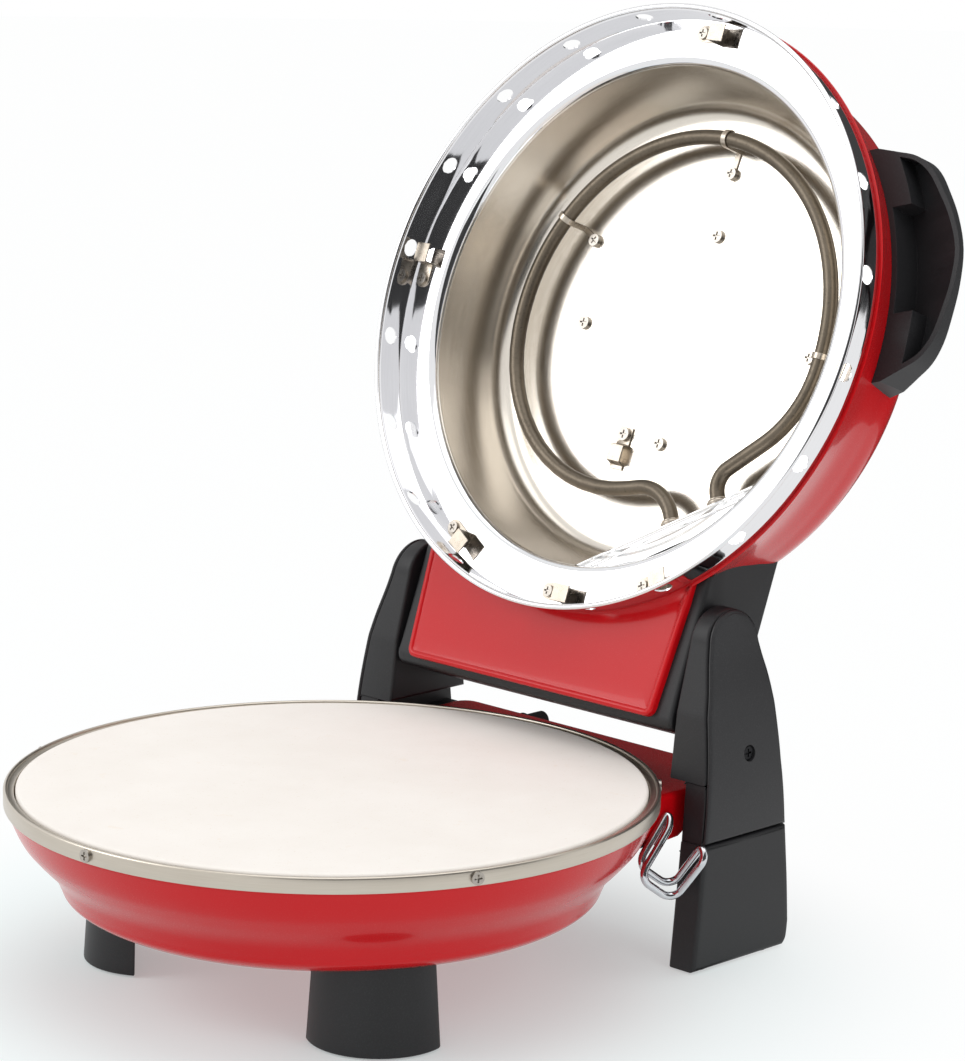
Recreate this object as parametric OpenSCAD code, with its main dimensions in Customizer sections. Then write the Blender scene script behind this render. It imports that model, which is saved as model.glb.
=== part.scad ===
// Electric countertop pizza maker with a hinged lid.
// Origin: the point of the worktop under the pan's axis. +X right, +Y to the hinge, +Z up.
// The lid's parts are modelled with the lid's front plane at z = 0 and z as depth into the lid.

/* [Baking stone] */
// Diameter of the baking stone
stone_d = 310; // [306:1:312]
// Thickness of the baking stone
stone_t = 12; // [11:0.5:13]
// Gap all round between stone and ring
stone_gap = 0.7; // [0.5:0.1:1]

/* [Pan] */
// Height of the stone's top above the worktop
stone_top = 99.5; // [99:0.5:102]
// Radial width of the rim ring outside the stone
rim_w = 6; // [5.5:0.5:7]
// Height of the ring's outer band
band_h = 7.6; // [7:0.2:8.4]
// Thickness of the pan's sheet
pan_t = 1.5; // [1.2:0.1:1.8]
// Depth from the band's lower edge to the pan's lowest face
pan_depth = 56.4; // [55:0.2:58]
// Half width of the pan's rear extension
tongue_hw = 103; // [102:0.5:104]
// Rear edge of the pan's extension
tongue_y = 195; // [193:1:197]

/* [Legs] */
// Distance from the pan's axis to the middle of a front foot's round side
foot_out = 94.2; // [93:0.2:95]
// Radius of a front foot at the worktop
foot_r = 34.5; // [33:0.5:36]
// Angle of the front feet from straight ahead
foot_angle = 60.4; // [58:0.2:62]
// Turn of a front foot's flat face away from the pan's axis
foot_turn = 20.5; // [19:0.5:22]
// Radius of the rear legs' rounded tops
arch_r = 18; // [17:0.5:19]
// Thickness of the rear legs' cover plates
cover_t = 2.5; // [2:0.1:3]
// Wall thickness of the rear legs
leg_wall = 3; // [2.5:0.1:3.5]

/* [Hinge] */
// Distance of the hinge's axis behind the pan's axis
hinge_y = 169.8; // [169:0.2:171]
// Height of the hinge's axis
hinge_z = 144.2; // [143:0.2:146]
// Opening angle of the lid
lid_open = 111; // [60:1:113]
// Radius of the hinge pins
pin_r = 5; // [4:0.5:6]
// Radial clearance of a pin in its bore
pin_gap = 0.05; // [0.02:0.01:0.1]
// Side gap between hinge housing and legs
side_gap = 2; // [1.6:0.1:2.4]

/* [Lid] */
// Gap between ring and lid when the lid is closed
closed_gap = 0.5; // [0.4:0.1:1]
// Depth of the chrome vent ring
ring_h = 18; // [17:0.5:18.5]
// Number of vent holes round the ring
vents = 20; // [12:1:22]
// Diameter of a vent hole
vent_d = 9.5; // [8:0.5:10.5]
// Thickness of the dome's sheet
dome_t = 1.2; // [1:0.1:1.5]
// Depth of the dome's top
dome_h = 92; // [91:0.5:94]
// Radius of the reflector at its mouth
mirror_r = 134.3; // [133.8:0.1:134.8]
// Depth of the reflector's plate
mirror_h = 64; // [63.5:0.5:66]
// Half width of the hinge housing
housing_hw = 98; // [96:0.5:98]

/* [Heating elements] */
// Diameter of the heating tubes
tube_d = 8; // [7:0.5:8.5]
// Radius of the upper element's loop
loop_r = 104.5; // [103.5:0.5:105]
// Distance from the reflector's plate to the upper element's centre line
element_drop = 12; // [11.5:0.5:12.5]
// Height of the lower element's centre line
lower_z = 81.5; // [81.5:0.1:81.8]

/* [Handle] */
// Angle of the handle to the right of straight ahead
handle_angle = 71; // [60:1:75]
// Depth of the handle's underside in the lid
handle_low = 37; // [36:0.5:40]
// Depth of the handle's top in the lid
handle_high = 62.5; // [61.5:0.5:63.5]

/* [Hidden] */
$fn = 96;
e = 0.01;
red = [0.72, 0.03, 0.03];
black = [0.1, 0.1, 0.1];
steel = [0.8, 0.8, 0.8];

rim_r = stone_d / 2 + rim_w;
stone_r = stone_d / 2;
ring_in = stone_r + stone_gap;
ledge_z = stone_top - stone_t - 0.2;
band_z = stone_top - band_h;
tongue_z = band_z - 2.9;
lid_z = stone_top + closed_gap;
leg_in = housing_hw + side_gap;
seam_z = 67;
dome_r = rim_r - 1;
skirt_r = rim_r - 2.5;
leg_off = hinge_y - 169.8;
upper_depth = mirror_h - element_drop;
// Shift of the legs that follows the wider of pan extension and hinge housing
leg_shift = max(tongue_hw - 103, housing_hw - 98);
// Places of screws, clips and outlets
rim_screw_angles = [for (i = [0:4]) -157 + i * 69 + (i == 4 ? 10 : 0)];
leg_screw_y = [leg_off + 160, leg_off + 180];
leg_screw_z = 82;
leg_pad_y = [leg_off + 142, leg_off + 188];
lower_end_x = 16;
gland_x = -60;
gland_z = 81.85;
clip_angles = [180, -89.5, 10, 90, 66, 121];
// Which way round the ring each clip's raised tab points
clip_turns = [1, 1, -1, -1, -1, -1];
clip_r = rim_r - 11;
element_clip_angles = [-151, -87, 1];
strap_reach = 16;

function unit(v) = v / norm(v);
function turn(v, a) = [v[0] * cos(a) - v[1] * sin(a), v[0] * sin(a) + v[1] * cos(a)];
function arc(c, r, a0, a1, n) = [for (i = [0:n]) c + r * [cos(a0 + (a1 - a0) * i / n), sin(a0 + (a1 - a0) * i / n)]];
// Directions of a smooth line at its points
function tangents(p) = [for (i = [0:len(p) - 1])
    i == 0 ? unit(p[1] - p[0]) :
    i == len(p) - 1 ? unit(p[i] - p[i - 1]) :
    unit(unit(p[i] - p[i - 1]) + unit(p[i + 1] - p[i]))];
// Point between two points with given directions, at share s
function between(a, b, ta, tb, s) = let (d = norm(b - a))
    a * (1 - s) * (1 - s) * (1 + 2 * s) + b * s * s * (3 - 2 * s)
    + ta * d * s * (1 - s) * (1 - s) - tb * d * s * s * (1 - s);
// Smooth line through points, n steps to each stretch
function smooth(p, n) = let (t = tangents(p)) concat(
    [for (i = [0:len(p) - 2], k = [0:n - 1]) between(p[i], p[i + 1], t[i], t[i + 1], k / n)],
    [p[len(p) - 1]]);
// The same line moved sideways by w to its left
function beside(p, w) = let (t = tangents(p)) [for (i = [0:len(p) - 1]) p[i] + w * [-t[i][1], t[i][0]]];
function back(p) = [for (i = [len(p) - 1:-1:0]) p[i]];
function tail(p) = [for (i = [1:len(p) - 1]) p[i]];
// Closed outline moved inwards by w, for outlines that run anticlockwise
function inset(p, w) = let (n = len(p)) [for (i = [0:n - 1]) let (
    a = unit(p[i] - p[(i + n - 1) % n]),
    b = unit(p[(i + 1) % n] - p[i]),
    m = [-(a[1] + b[1]), a[0] + b[0]],
    s = w * 2 / (m * m)) p[i] + m * s];

// Pan outline from the band down to the floor of the pan
pan_line = smooth([
    [rim_r - 1, band_z],
    [rim_r - 8, band_z - 15.3],
    [rim_r - 13.6, band_z - 22.1],
    [rim_r - 23.6, band_z - 33],
    [rim_r - 27, band_z - 39.9],
    [rim_r - 28.7, band_z - 43.7],
    [rim_r - 35, band_z - 47.9],
    [rim_r - 42.7, band_z - 50.3],
    [rim_r - 65.8, band_z - 55],
    [rim_r - 77.3, band_z - pan_depth]], 4);
// Dome outline from its edge to its top
dome_line = smooth([
    [dome_r, ring_h],
    [dome_r - 7.5, ring_h + 18],
    [dome_r - 12, ring_h + 36],
    [dome_r - 16, ring_h + 52],
    [dome_r - 25, dome_h - 11],
    [dome_r - 45, dome_h - 5],
    [dome_r - 100, dome_h - 1]], 5);
// Side outline of a rear leg, from the front of the sole round the top and down again
leg_side = concat(
    [[leg_off + 131, 1], [leg_off + 133, 66], [leg_off + 135, 94], [leg_off + 139, 130]],
    arc([hinge_y - 3.8, hinge_z + 17.8], arch_r, 172, 0, 24),
    [[leg_off + 187, 148], [leg_off + 189.5, 131], [leg_off + 191, 101]],
    [[leg_off + 194.5, 70], [leg_off + 199, 41], [leg_off + 203, 14]],
    arc([leg_off + 198, 6], 5, 0, -90, 6));
// Front outline of the right rear leg
leg_front = concat(
    [for (q = [[123, 1], [126, 45], [127, 94], [121, 138], [116, 158], [112, 182]]) q + [leg_shift, 0]],
    [[leg_in, 182], [leg_in, 97]],
    [for (q = [[110.5, 96.9], [109.5, 60], [106, 1]]) q + [leg_shift, 0]]);

// Steps of a bent tube: straight length, bend radius, turn
near_end = [[0, 60, 43.5], [24.4, 11.4, -79.5], [3.1, 0, 0]];
far_end = [[0, 86.2, -95.3], [7.8, 24.3, 73.3], [2.8, 0, 0]];
chord_dir = 60;

// Places the lid's parts in their rest pose, swung open about the hinge
module in_lid() {
    translate([0, hinge_y, hinge_z])
        rotate([-lid_open, 0, 0])
            translate([0, -hinge_y, lid_z - hinge_z]) children();
}

// Places things in the direction of an angle about the axis, x pointing outwards
module at(angle, r, z) {
    rotate([0, 0, angle]) translate([r, 0, z]) children();
}

// Turns the z axis of a thing to point along +x
module along_x() {
    rotate([0, 90, 0]) children();
}

// Pan-head screw with a cross recess, head up, its seat at z = 0
module screw(head_r, head_h, r, length) {
    difference() {
        union() {
            cylinder(h = head_h, r = head_r, $fn = 48);
            translate([0, 0, -length]) cylinder(h = length + e, r = r, $fn = 48);
        }
        for (a = [0, 90])
            rotate([0, 0, a]) translate([-head_r * 0.62, -0.45, head_h - 0.9]) cube([head_r * 1.24, 0.9, 2]);
    }
}

// Points along straight runs and bends, from p in direction h
function trace(p, h, steps, i = 0) = i == len(steps) ? [] : let (
    s = steps[i],
    d = [cos(h), sin(h)],
    q = p + s[0] * d,
    c = q + s[1] * sign(s[2]) * [-d[1], d[0]],
    n = ceil(abs(s[2]) / 9)) concat(
        s[0] > 0 ? [q] : [],
        s[2] == 0 ? [] : [for (k = [1:n]) c + turn(q - c, s[2] * k / n)],
        trace(s[2] == 0 ? q : c + turn(q - c, s[2]), h + s[2], steps, i + 1));

// Round tube along a flat line of points
module tube(p, r, sides) {
    n = len(p);
    rings = [for (i = [0:n - 1]) let (
        d = unit(p[min(i + 1, n - 1)] - p[max(i - 1, 0)])) for (k = [0:sides - 1])
            [p[i][0] - d[1] * r * cos(360 * k / sides), p[i][1] + d[0] * r * cos(360 * k / sides), r * sin(360 * k / sides)]];
    polyhedron(rings, concat(
        [[for (k = [0:sides - 1]) k]],
        [for (i = [0:n - 2], k = [0:sides - 1]) [
            i * sides + k,
            (i + 1) * sides + k,
            (i + 1) * sides + (k + 1) % sides,
            i * sides + (k + 1) % sides]],
        [[for (k = [sides - 1:-1:0]) (n - 1) * sides + k]]));
}

// End point and heading of such a tube
function walk(p, h, steps, i = 0) = i == len(steps) ? [p, h] : let (
    s = steps[i],
    d = [cos(h), sin(h)],
    q = p + s[0] * d,
    g = sign(s[2]),
    c = q + s[1] * g * [-d[1], d[0]],
    n = s[2] == 0 ? q : c + turn(q - c, s[2])) walk(n, h + s[2], steps, i + 1);

near_start = loop_r * [cos(6), sin(6)];
far_start = loop_r * [cos(172), sin(172)];
near_tip = walk(near_start, 96, near_end)[0];
far_tip = walk(far_start, 82, far_end)[0];
out_dir = [cos(chord_dir), sin(chord_dir)];

// Solid of the pan's outside
module pan_outside(top) {
    rotate_extrude($fn = 180) polygon(concat([[0, top], [rim_r - 1, top]], pan_line, [[0, band_z - pan_depth - 0.1]]));
}

// Solid of the pan's inside
module pan_inside(top) {
    rotate_extrude($fn = 180) polygon(concat([[0, top], [rim_r - 1 - pan_t, top]], beside(pan_line, -pan_t),
        [[0, band_z - pan_depth - 0.1 + pan_t]]));
}

// Side outline of the pan's rear extension, its lower edge rising to the rear
module tongue_outline(w) {
    rotate([90, 0, 90]) translate([0, 0, -tongue_hw + w]) linear_extrude(2 * (tongue_hw - w))
        polygon([[100, 64.5 + w], [112, 64.5 + w], [141, 66.6 + w], [150, 75 + w], [tongue_y - w, 75 + w],
            [tongue_y - w, tongue_z - w], [100, tongue_z - w]]);
}

module base_pan() {
    color(red) difference() {
        union() {
            pan_outside(band_z + 5);
            difference() {
                tongue_outline(0);
                tongue_outline(pan_t);
                translate([-tongue_hw + pan_t, 90, 40]) cube([2 * (tongue_hw - pan_t), tongue_y - 90 - pan_t, 40]);
            }
            for (m = [0, 1]) mirror([m, 0, 0])
                translate([tongue_hw - e, 130, 79]) cube([2, 12, tongue_z - 79]);
        }
        pan_inside(200);
        translate([0, 0, ledge_z - 1.05]) cylinder(h = 30, r = ring_in + 1.05, $fn = 180);
        for (a = rim_screw_angles) at(a, 150, band_z + 3.6) along_x() cylinder(h = 20, r = 1.9, $fn = 48);
        for (m = [0, 1]) mirror([m, 0, 0]) {
            foot_screw_place() translate([0, 0, 20]) cylinder(h = 30, r = 2.1, $fn = 48);
            for (y = leg_screw_y) translate([tongue_hw - 8, y, leg_screw_z]) along_x() cylinder(h = 16, r = 2.1, $fn = 48);
            translate([lower_end_x, 110, lower_z]) rotate([-90, 0, 0]) cylinder(h = 60, r = 5, $fn = 48);
        }
        translate([gland_x, tongue_y - 10, gland_z]) rotate([-90, 0, 0]) cylinder(h = 20, r = 5, $fn = 48);
    }
}

module rim_ring() {
    color(steel) difference() {
        rotate_extrude($fn = 180) polygon(concat(
            [[rim_r - 1, band_z], [rim_r, band_z]],
            arc([rim_r - 0.8, stone_top - 0.8], 0.8, 0, 180, 10),
            [[rim_r - 1.8, stone_top - 1.2], [ring_in, stone_top - 1.2], [ring_in, ledge_z]],
            [[rim_r - 14, ledge_z], [rim_r - 14, ledge_z - 1], [ring_in + 1, ledge_z - 1]],
            [[ring_in + 1, stone_top - 2.2], [rim_r - 1, stone_top - 2.2]]));
        for (a = rim_screw_angles) at(a, 158, band_z + 3.6) along_x() cylinder(h = 10, r = 1.9, $fn = 48);
    }
}

module rim_screws() {
    color("silver") for (a = rim_screw_angles) at(a, rim_r, band_z + 3.6) along_x() screw(3.2, 1.4, 1.85, 4);
}

module heat_shield() {
    color("lightgray") intersection() {
        pan_inside(120);
        rotate_extrude($fn = 180) polygon([[0, 50], [112, 50], [130, 57.5], [160, 57.5], [160, 58.3], [129.8, 58.3], [111.8, 50.8], [0, 50.8]]);
    }
}

module lower_element() {
    a = asin(lower_end_x / 104);
    color("dimgray") translate([0, 0, lower_z]) {
        rotate([0, 0, 90 + a]) rotate_extrude(angle = 360 - 2 * a, $fn = 120)
            translate([104, 0]) circle(r = tube_d / 2, $fn = 48);
        for (m = [0, 1]) mirror([m, 0, 0])
            translate([lower_end_x, 104 * cos(a) - 3, 0]) rotate([-90, 0, 0]) cylinder(h = 62, r = tube_d / 2, $fn = 48);
    }
}

// Strip with a foot, a riser and a tongue over a heating tube; z = 0 on the plate, x outwards
module tube_clip(h, over) {
    translate([-14, -4, 0]) difference() {
        cube([15, 8, 1]);
        translate([5, 4, -1]) cylinder(h = 4, r = 1.7, $fn = 48);
    }
    translate([0, -4, 0]) cube([1, 8, h]);
    translate([0, -4, h - 1]) cube([over, 8, 1]);
}

module lower_element_clips() {
    h = lower_z + tube_d / 2 + 1 - 50.8;
    color("gray") for (a = [-90, 30, 150]) at(a, 98.5, 50.8) tube_clip(h, 11);
}

module lower_element_ferrules() {
    color("ivory") for (m = [0, 1]) mirror([m, 0, 0])
        translate([lower_end_x, rim_r - 18.5, lower_z]) rotate([-90, 0, 0]) difference() {
            union() {
                cylinder(h = 18, r = 4.75, $fn = 48);
                cylinder(h = 2.5, r = 5.7, $fn = 48);
            }
            translate([0, 0, -1]) cylinder(h = 40, r = tube_d / 2, $fn = 48);
        }
}

// Centre of the right front foot
module foot_place() {
    rotate([0, 0, -90 + foot_angle]) translate([foot_out, 0, 0]) rotate([0, 0, -foot_turn]) children();
}

module front_foot() {
    color(black) difference() {
        foot_place() difference() {
            translate([0, 0, 1]) cylinder(h = 44, r1 = foot_r, r2 = foot_r - 3, $fn = 120);
            translate([foot_r * 0.267 - 60, -60, -1]) cube([60, 120, 60]);
        }
        pan_outside(200);
        foot_screw_place() {
            cylinder(h = 100, r = 2.1, $fn = 48);
            cylinder(h = 28, r = 5, $fn = 48);
            translate([0, 0, -1]) cylinder(h = 4, r = 9, $fn = 48);
        }
    }
}

// Axis of the right front foot's screw
module foot_screw_place() {
    foot_place() translate([foot_r * 0.58, 0, 0]) children();
}

module front_foot_right() { front_foot(); }

module front_foot_left() { mirror([1, 0, 0]) front_foot(); }

module foot_pads() {
    color("black") for (m = [0, 1]) mirror([m, 0, 0]) foot_screw_place() cylinder(h = 3, r = 9, $fn = 48);
}

module foot_screws() {
    color("silver") for (m = [0, 1]) mirror([m, 0, 0])
        foot_screw_place() translate([0, 0, 28]) rotate([180, 0, 0]) screw(3.6, 2, 2.1, 15);
}

// Leg block between its side and front outlines
module leg_block(side, front) {
    intersection() {
        rotate([90, 0, 90]) linear_extrude(140) polygon(side);
        translate([0, 260, 0]) rotate([90, 0, 0]) linear_extrude(160) polygon(front);
    }
}

// Front outline of the cover plate's layer
cover_front = concat(
    [for (i = [1:5]) i == 1 ? [126.4 + leg_shift, seam_z] : leg_front[i]],
    [for (i = [5:-1:1]) (i == 1 ? [126.4 + leg_shift, seam_z] : leg_front[i]) - [cover_t, 0]]);

module leg_cavity() {
    difference() {
        leg_block(inset(leg_side, -leg_wall), concat(
            [for (q = [[123, 5], [126, 45], [126.4, seam_z + 3]]) q + [leg_shift - leg_wall, 0]],
            [for (q = [[129, seam_z + 3], [129, 94], [123, 138], [118, 158], [114, 178]]) q + [leg_shift - cover_t, 0]],
            [[leg_in + leg_wall, 178], [leg_in + leg_wall, 100]],
            [for (q = [[110.5, 98], [109.5, 60], [106, 5]]) q + [leg_shift + leg_wall, 0]]));
        translate([0, hinge_y, hinge_z]) along_x() cylinder(h = 140, r = pin_r + 5, $fn = 60);
        translate([0, leg_off + 165.8, 109]) along_x() cylinder(h = 140, r = 6, $fn = 60);
        translate([90, leg_off + 150, 70]) cube([22 + leg_shift, 40, 24]);
    }
}

module rear_leg() {
    color(black) difference() {
        union() {
            leg_block(leg_side, leg_front);
            translate([tongue_hw, leg_off + 150, 70]) cube([113 + leg_shift - tongue_hw, 40, tongue_z - 71]);
        }
        leg_block(inset(leg_side, 1), [for (i = [0:len(cover_front) - 1]) cover_front[i] + [i < 5 ? 5 : 0, 0]]);
        leg_cavity();
        translate([0, hinge_y, hinge_z]) along_x() cylinder(h = 114 + leg_shift, r = pin_r, $fn = 60);
        translate([104 + leg_shift, leg_off + 165.8, 109]) along_x() cylinder(h = 40, r = 1.8, $fn = 48);
        for (y = leg_screw_y) translate([90, y, leg_screw_z]) along_x() cylinder(h = 21 + leg_shift, r = 1.9, $fn = 48);
        for (y = leg_pad_y) translate([114.5 + leg_shift, y, 0]) cylinder(h = 3, r = 5.5, $fn = 48);
    }
}

module rear_leg_right() { rear_leg(); }

module rear_leg_left() { mirror([1, 0, 0]) rear_leg(); }

module leg_cover() {
    color([0.13, 0.13, 0.13]) difference() {
        leg_block(leg_side, cover_front);
        translate([110 + leg_shift, leg_off + 165.8, 109]) along_x() cylinder(h = 40, r = 1.9, $fn = 48);
        translate([124 + leg_shift, leg_off + 165.8, 109]) along_x() cylinder(h = 10, r = 4.2, $fn = 48);
    }
}

module leg_cover_right() { leg_cover(); }

module leg_cover_left() { mirror([1, 0, 0]) leg_cover(); }

module leg_cover_screws() {
    color("dimgray") for (m = [0, 1]) mirror([m, 0, 0])
        translate([124 + leg_shift, leg_off + 165.8, 109]) along_x() screw(3.4, 1.3, 1.8, 16);
}

module leg_fixing_screws() {
    color("silver") for (m = [0, 1], y = leg_screw_y) mirror([m, 0, 0])
        translate([tongue_hw - pan_t, y, leg_screw_z]) rotate([0, -90, 0]) screw(3.6, 2, 1.9, 110.9 + leg_shift - tongue_hw + pan_t);
}

module leg_pads() {
    color("black") for (m = [0, 1], y = leg_pad_y) mirror([m, 0, 0]) translate([114.5 + leg_shift, y, 0]) cylinder(h = 3, r = 5.5, $fn = 48);
}

module hinge_pin() {
    color("silver") translate([0, hinge_y, hinge_z]) {
        translate([housing_hw - 7.5, 0, 0]) along_x() cylinder(h = 114 + leg_shift - housing_hw + 7.5, r = pin_r, $fn = 60);
        translate([housing_hw - 9.5, 0, 0]) along_x() cylinder(h = 2 + e, r = pin_r + 2.5, $fn = 60);
    }
}

module hinge_pin_right() { hinge_pin(); }

module hinge_pin_left() { mirror([1, 0, 0]) hinge_pin(); }

module hinge_washers() {
    color("ivory") for (m = [0, 1]) mirror([m, 0, 0])
        translate([leg_in - side_gap + 0.4, hinge_y, hinge_z]) along_x() difference() {
            cylinder(h = side_gap - 0.4, r = pin_r + 5, $fn = 60);
            translate([0, 0, -1]) cylinder(h = 5, r = pin_r, $fn = 60);
        }
}

// An open path's points with its inner corners rounded by n short steps
function rounded(p, bend, n) = concat([p[0]], [for (i = [1:len(p) - 2]) let (
    u = unit(p[i] - p[i - 1]),
    v = unit(p[i + 1] - p[i]),
    t = acos(u * v),
    side = unit(v - u * (u * v)),
    start = p[i] - bend * tan(t / 2) * u) for (k = [0:n])
        start + bend * (side * (1 - cos(t * k / n)) + u * sin(t * k / n))], [p[len(p) - 1]]);

// The cord hook is one wire: along a bent line, round a half turn, and back beside itself
hook_shift = [4.2, -2.8, -5.6];
hook_line = rounded([
    [tongue_hw + 2, 127.2, 78.5],
    [tongue_hw + 2.3, 107.4, 58.7],
    [tongue_hw + 7.9, 126.4, 44.1],
    [tongue_hw + 22.8, 129.6, 65.6]], 6, 4);
hook_dirs = tangents(hook_line);
hook_last = len(hook_line) - 1;
hook_path = concat(
    hook_line,
    [for (a = [36:36:144]) hook_line[hook_last] + hook_shift * (1 - cos(a)) / 2 + hook_dirs[hook_last] * 3 * sin(a)],
    [for (q = back(hook_line)) q + hook_shift],
    [for (a = [36:36:144]) hook_line[0] + hook_shift * (1 + cos(a)) / 2 - hook_dirs[0] * 3 * sin(a)]);
// Direction across the wire that stays square to the flat strip between its two runs
hook_flat = [for (q = concat(hook_dirs, [for (i = [1:4]) hook_dirs[hook_last]], back(hook_dirs), [for (i = [1:4]) hook_dirs[0]]))
    unit(cross(q, hook_shift))];

module cord_hook() {
    n = len(hook_path);
    sides = 12;
    rings = [for (i = [0:n - 1]) let (
        t = unit(hook_path[(i + 1) % n] - hook_path[(i + n - 1) % n]),
        a = unit(cross(t, hook_flat[i])),
        b = cross(a, t)) for (k = [0:sides - 1])
            hook_path[i] + 2 * (a * cos(360 * k / sides) + b * sin(360 * k / sides))];
    color("silver") polyhedron(rings, [for (i = [0:n - 1], k = [0:sides - 1]) [
        i * sides + k,
        i * sides + (k + 1) % sides,
        (i + 1) % n * sides + (k + 1) % sides,
        (i + 1) % n * sides + k]]);
}

module cord_hook_right() { cord_hook(); }

module cord_hook_left() { mirror([1, 0, 0]) cord_hook(); }

module rear_cover() {
    color([0.2, 0.2, 0.2]) difference() {
        translate([-tongue_hw + pan_t + 0.2, 0, 0]) rotate([90, 0, 90]) linear_extrude(2 * (tongue_hw - pan_t - 0.2))
            polygon([[112, 64.5], [141, 66.6], [150, 75], [tongue_y - pan_t, 75], [tongue_y - pan_t, 76.2], [149.5, 76.2],
                [140.5, 67.8], [112, 65.7]]);
        pan_outside(200);
        for (m = [0, 1]) mirror([m, 0, 0]) translate([tongue_hw - 11, 120, 50]) cube([20, 20, 40]);
    }
}

module cord_gland() {
    color("black") translate([gland_x, tongue_y, gland_z]) rotate([-90, 0, 0]) difference() {
        union() {
            translate([0, 0, -6]) cylinder(h = 22, r = 5, $fn = 48);
            cylinder(h = 2, r = 6.4, $fn = 48);
            translate([0, 0, -6]) cylinder(h = 4.4, r = 5.6, $fn = 48);
        }
        translate([0, 0, -8]) cylinder(h = 30, r = 3.5, $fn = 48);
    }
}

module terminal_block() {
    color("ivory") translate([30, 171, tongue_z - pan_t - 9]) difference() {
        cube([40, 16, 9]);
        for (i = [0:2]) translate([8 + 12 * i, 8, -1]) cylinder(h = 5, r = 3, $fn = 48);
    }
}

module thermostat() {
    color("ivory") translate([-10, 174, tongue_z - pan_t - 9]) {
        cylinder(h = 9, r = 8, $fn = 60);
        translate([-14, -4, 8]) cube([28, 8, 1]);
    }
}

module thermal_fuse() {
    color("white") translate([-42, 178, tongue_z - pan_t - 3]) rotate([0, 90, 0]) cylinder(h = 16, r = 3, $fn = 48);
}

module pizza_stone() {
    color([0.94, 0.92, 0.88]) rotate_extrude($fn = 180) polygon(concat(
        [[0, stone_top - stone_t], [stone_r - 1, stone_top - stone_t]],
        arc([stone_r - 2, stone_top - stone_t + 2], 2, -60, 0, 6),
        arc([stone_r - 1.6, stone_top - 1.6], 1.6, 0, 90, 8),
        [[0, stone_top]]));
}

// Flat outline of the lid's rear panel
module panel_outline(w) {
    polygon([[-91 + w, 120], [-91 + w, 140], [-87 + w, 200 - w], [87 - w, 200 - w], [91 - w, 140], [91 - w, 120]]);
}

// Solid of the dome's outside
module dome_outside() {
    rotate_extrude($fn = 180) polygon(concat([[0, ring_h - 5], [dome_r, ring_h - 5]], dome_line, [[0, dome_h]]));
}

module lid_dome() {
    color(red) in_lid() difference() {
        union() {
            rotate_extrude($fn = 180) polygon(concat(dome_line, [[0, dome_h]], [[0, dome_h - dome_t]],
                back(tail(beside(dome_line, dome_t))), [[dome_r - 1.8, ring_h + dome_t], [dome_r - 20, ring_h + dome_t]],
                [[dome_r - 20, ring_h]]));
            difference() {
                union() {
                    translate([0, 0, ring_h]) linear_extrude(dome_t) panel_outline(0);
                    translate([0, 0, ring_h]) linear_extrude(3) difference() {
                        panel_outline(0);
                        panel_outline(dome_t);
                        translate([-120, 100]) square([240, 40]);
                    }
                }
                translate([0, 0, ring_h - 1]) cylinder(h = 5, r = dome_r - 2, $fn = 180);
            }
        }
        for (a = clip_angles) at(a, clip_r, ring_h - 1) cylinder(h = 5, r = 1.7, $fn = 48);
        handle_screw_places() translate([0, 0, -8]) cylinder(h = 30, r = 2, $fn = 48);
        translate([-20, 128, 46]) cube([40, 40, 12]);
    }
}

module vent_ring() {
    color([0.9, 0.9, 0.9]) in_lid() difference() {
        rotate_extrude($fn = 180) polygon(concat(
            arc([rim_r - 1.4, 1.4], 1.4, 160, 420, 10),
            [[skirt_r + 0.4, 2.7], [skirt_r, 2.9], [skirt_r, ring_h], [rim_r - 22.5, ring_h]],
            arc([rim_r - 22.5, ring_h + 4], 4, 270, 195, 6),
            arc([rim_r - 22.5, ring_h + 4], 4.8, 195, 270, 6),
            [[skirt_r - 0.8, ring_h - 0.8], [skirt_r - 0.8, 2.2]]));
        for (i = [0:vents - 1]) at(-12.8 - i * 360 / vents, skirt_r - 6, ring_h * 8.3 / 18)
            along_x() cylinder(h = 12, r = vent_d / 2, $fn = 48);
        for (a = clip_angles) at(a, clip_r, ring_h - 3) cylinder(h = 5, r = 1.7, $fn = 48);
    }
}

// Clip with a rounded foot, a riser and a raised tab, its screw at the origin
module ring_clips() {
    top = ring_h - 0.8;
    color("silver") in_lid() for (i = [0:len(clip_angles) - 1])
        at(clip_angles[i], clip_r, 0) mirror([0, clip_turns[i] < 0 ? 1 : 0, 0]) difference() {
            union() {
                translate([0, 0, top - 0.8]) cylinder(h = 0.8, r = 4.5, $fn = 48);
                translate([-4.5, 0, top - 0.8]) cube([9, 9, 0.8]);
                translate([-4.5, 8.2, top - 7.2]) cube([9, 0.8, 7.2]);
                translate([-4.5, 8.2, top - 7.2]) cube([9, 10.3, 0.8]);
            }
            translate([0, 0, top - 3]) cylinder(h = 5, r = 1.7, $fn = 48);
        }
}

module ring_clip_screws() {
    color("silver") in_lid() for (a = clip_angles) at(a, clip_r, ring_h - 1.6) rotate([180, 0, 0]) screw(3.2, 1.4, 1.7, 6);
}

// Line of the reflector's wall from its mouth to its plate
mirror_line = concat(
    [[mirror_r, ring_h + 3.4]],
    [[mirror_r - 1.6, ring_h + 10], [mirror_r - 7, mirror_h - 16]],
    arc([mirror_r - 20.5, mirror_h - 12], 12, 10, 90, 10));

// Screws in the plate, of which the last one holds the sensor's clip
plate_screw_places = [[6, -54.5], [-69.5, 2], [5, 59], [-19.5, 57.5]];

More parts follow.
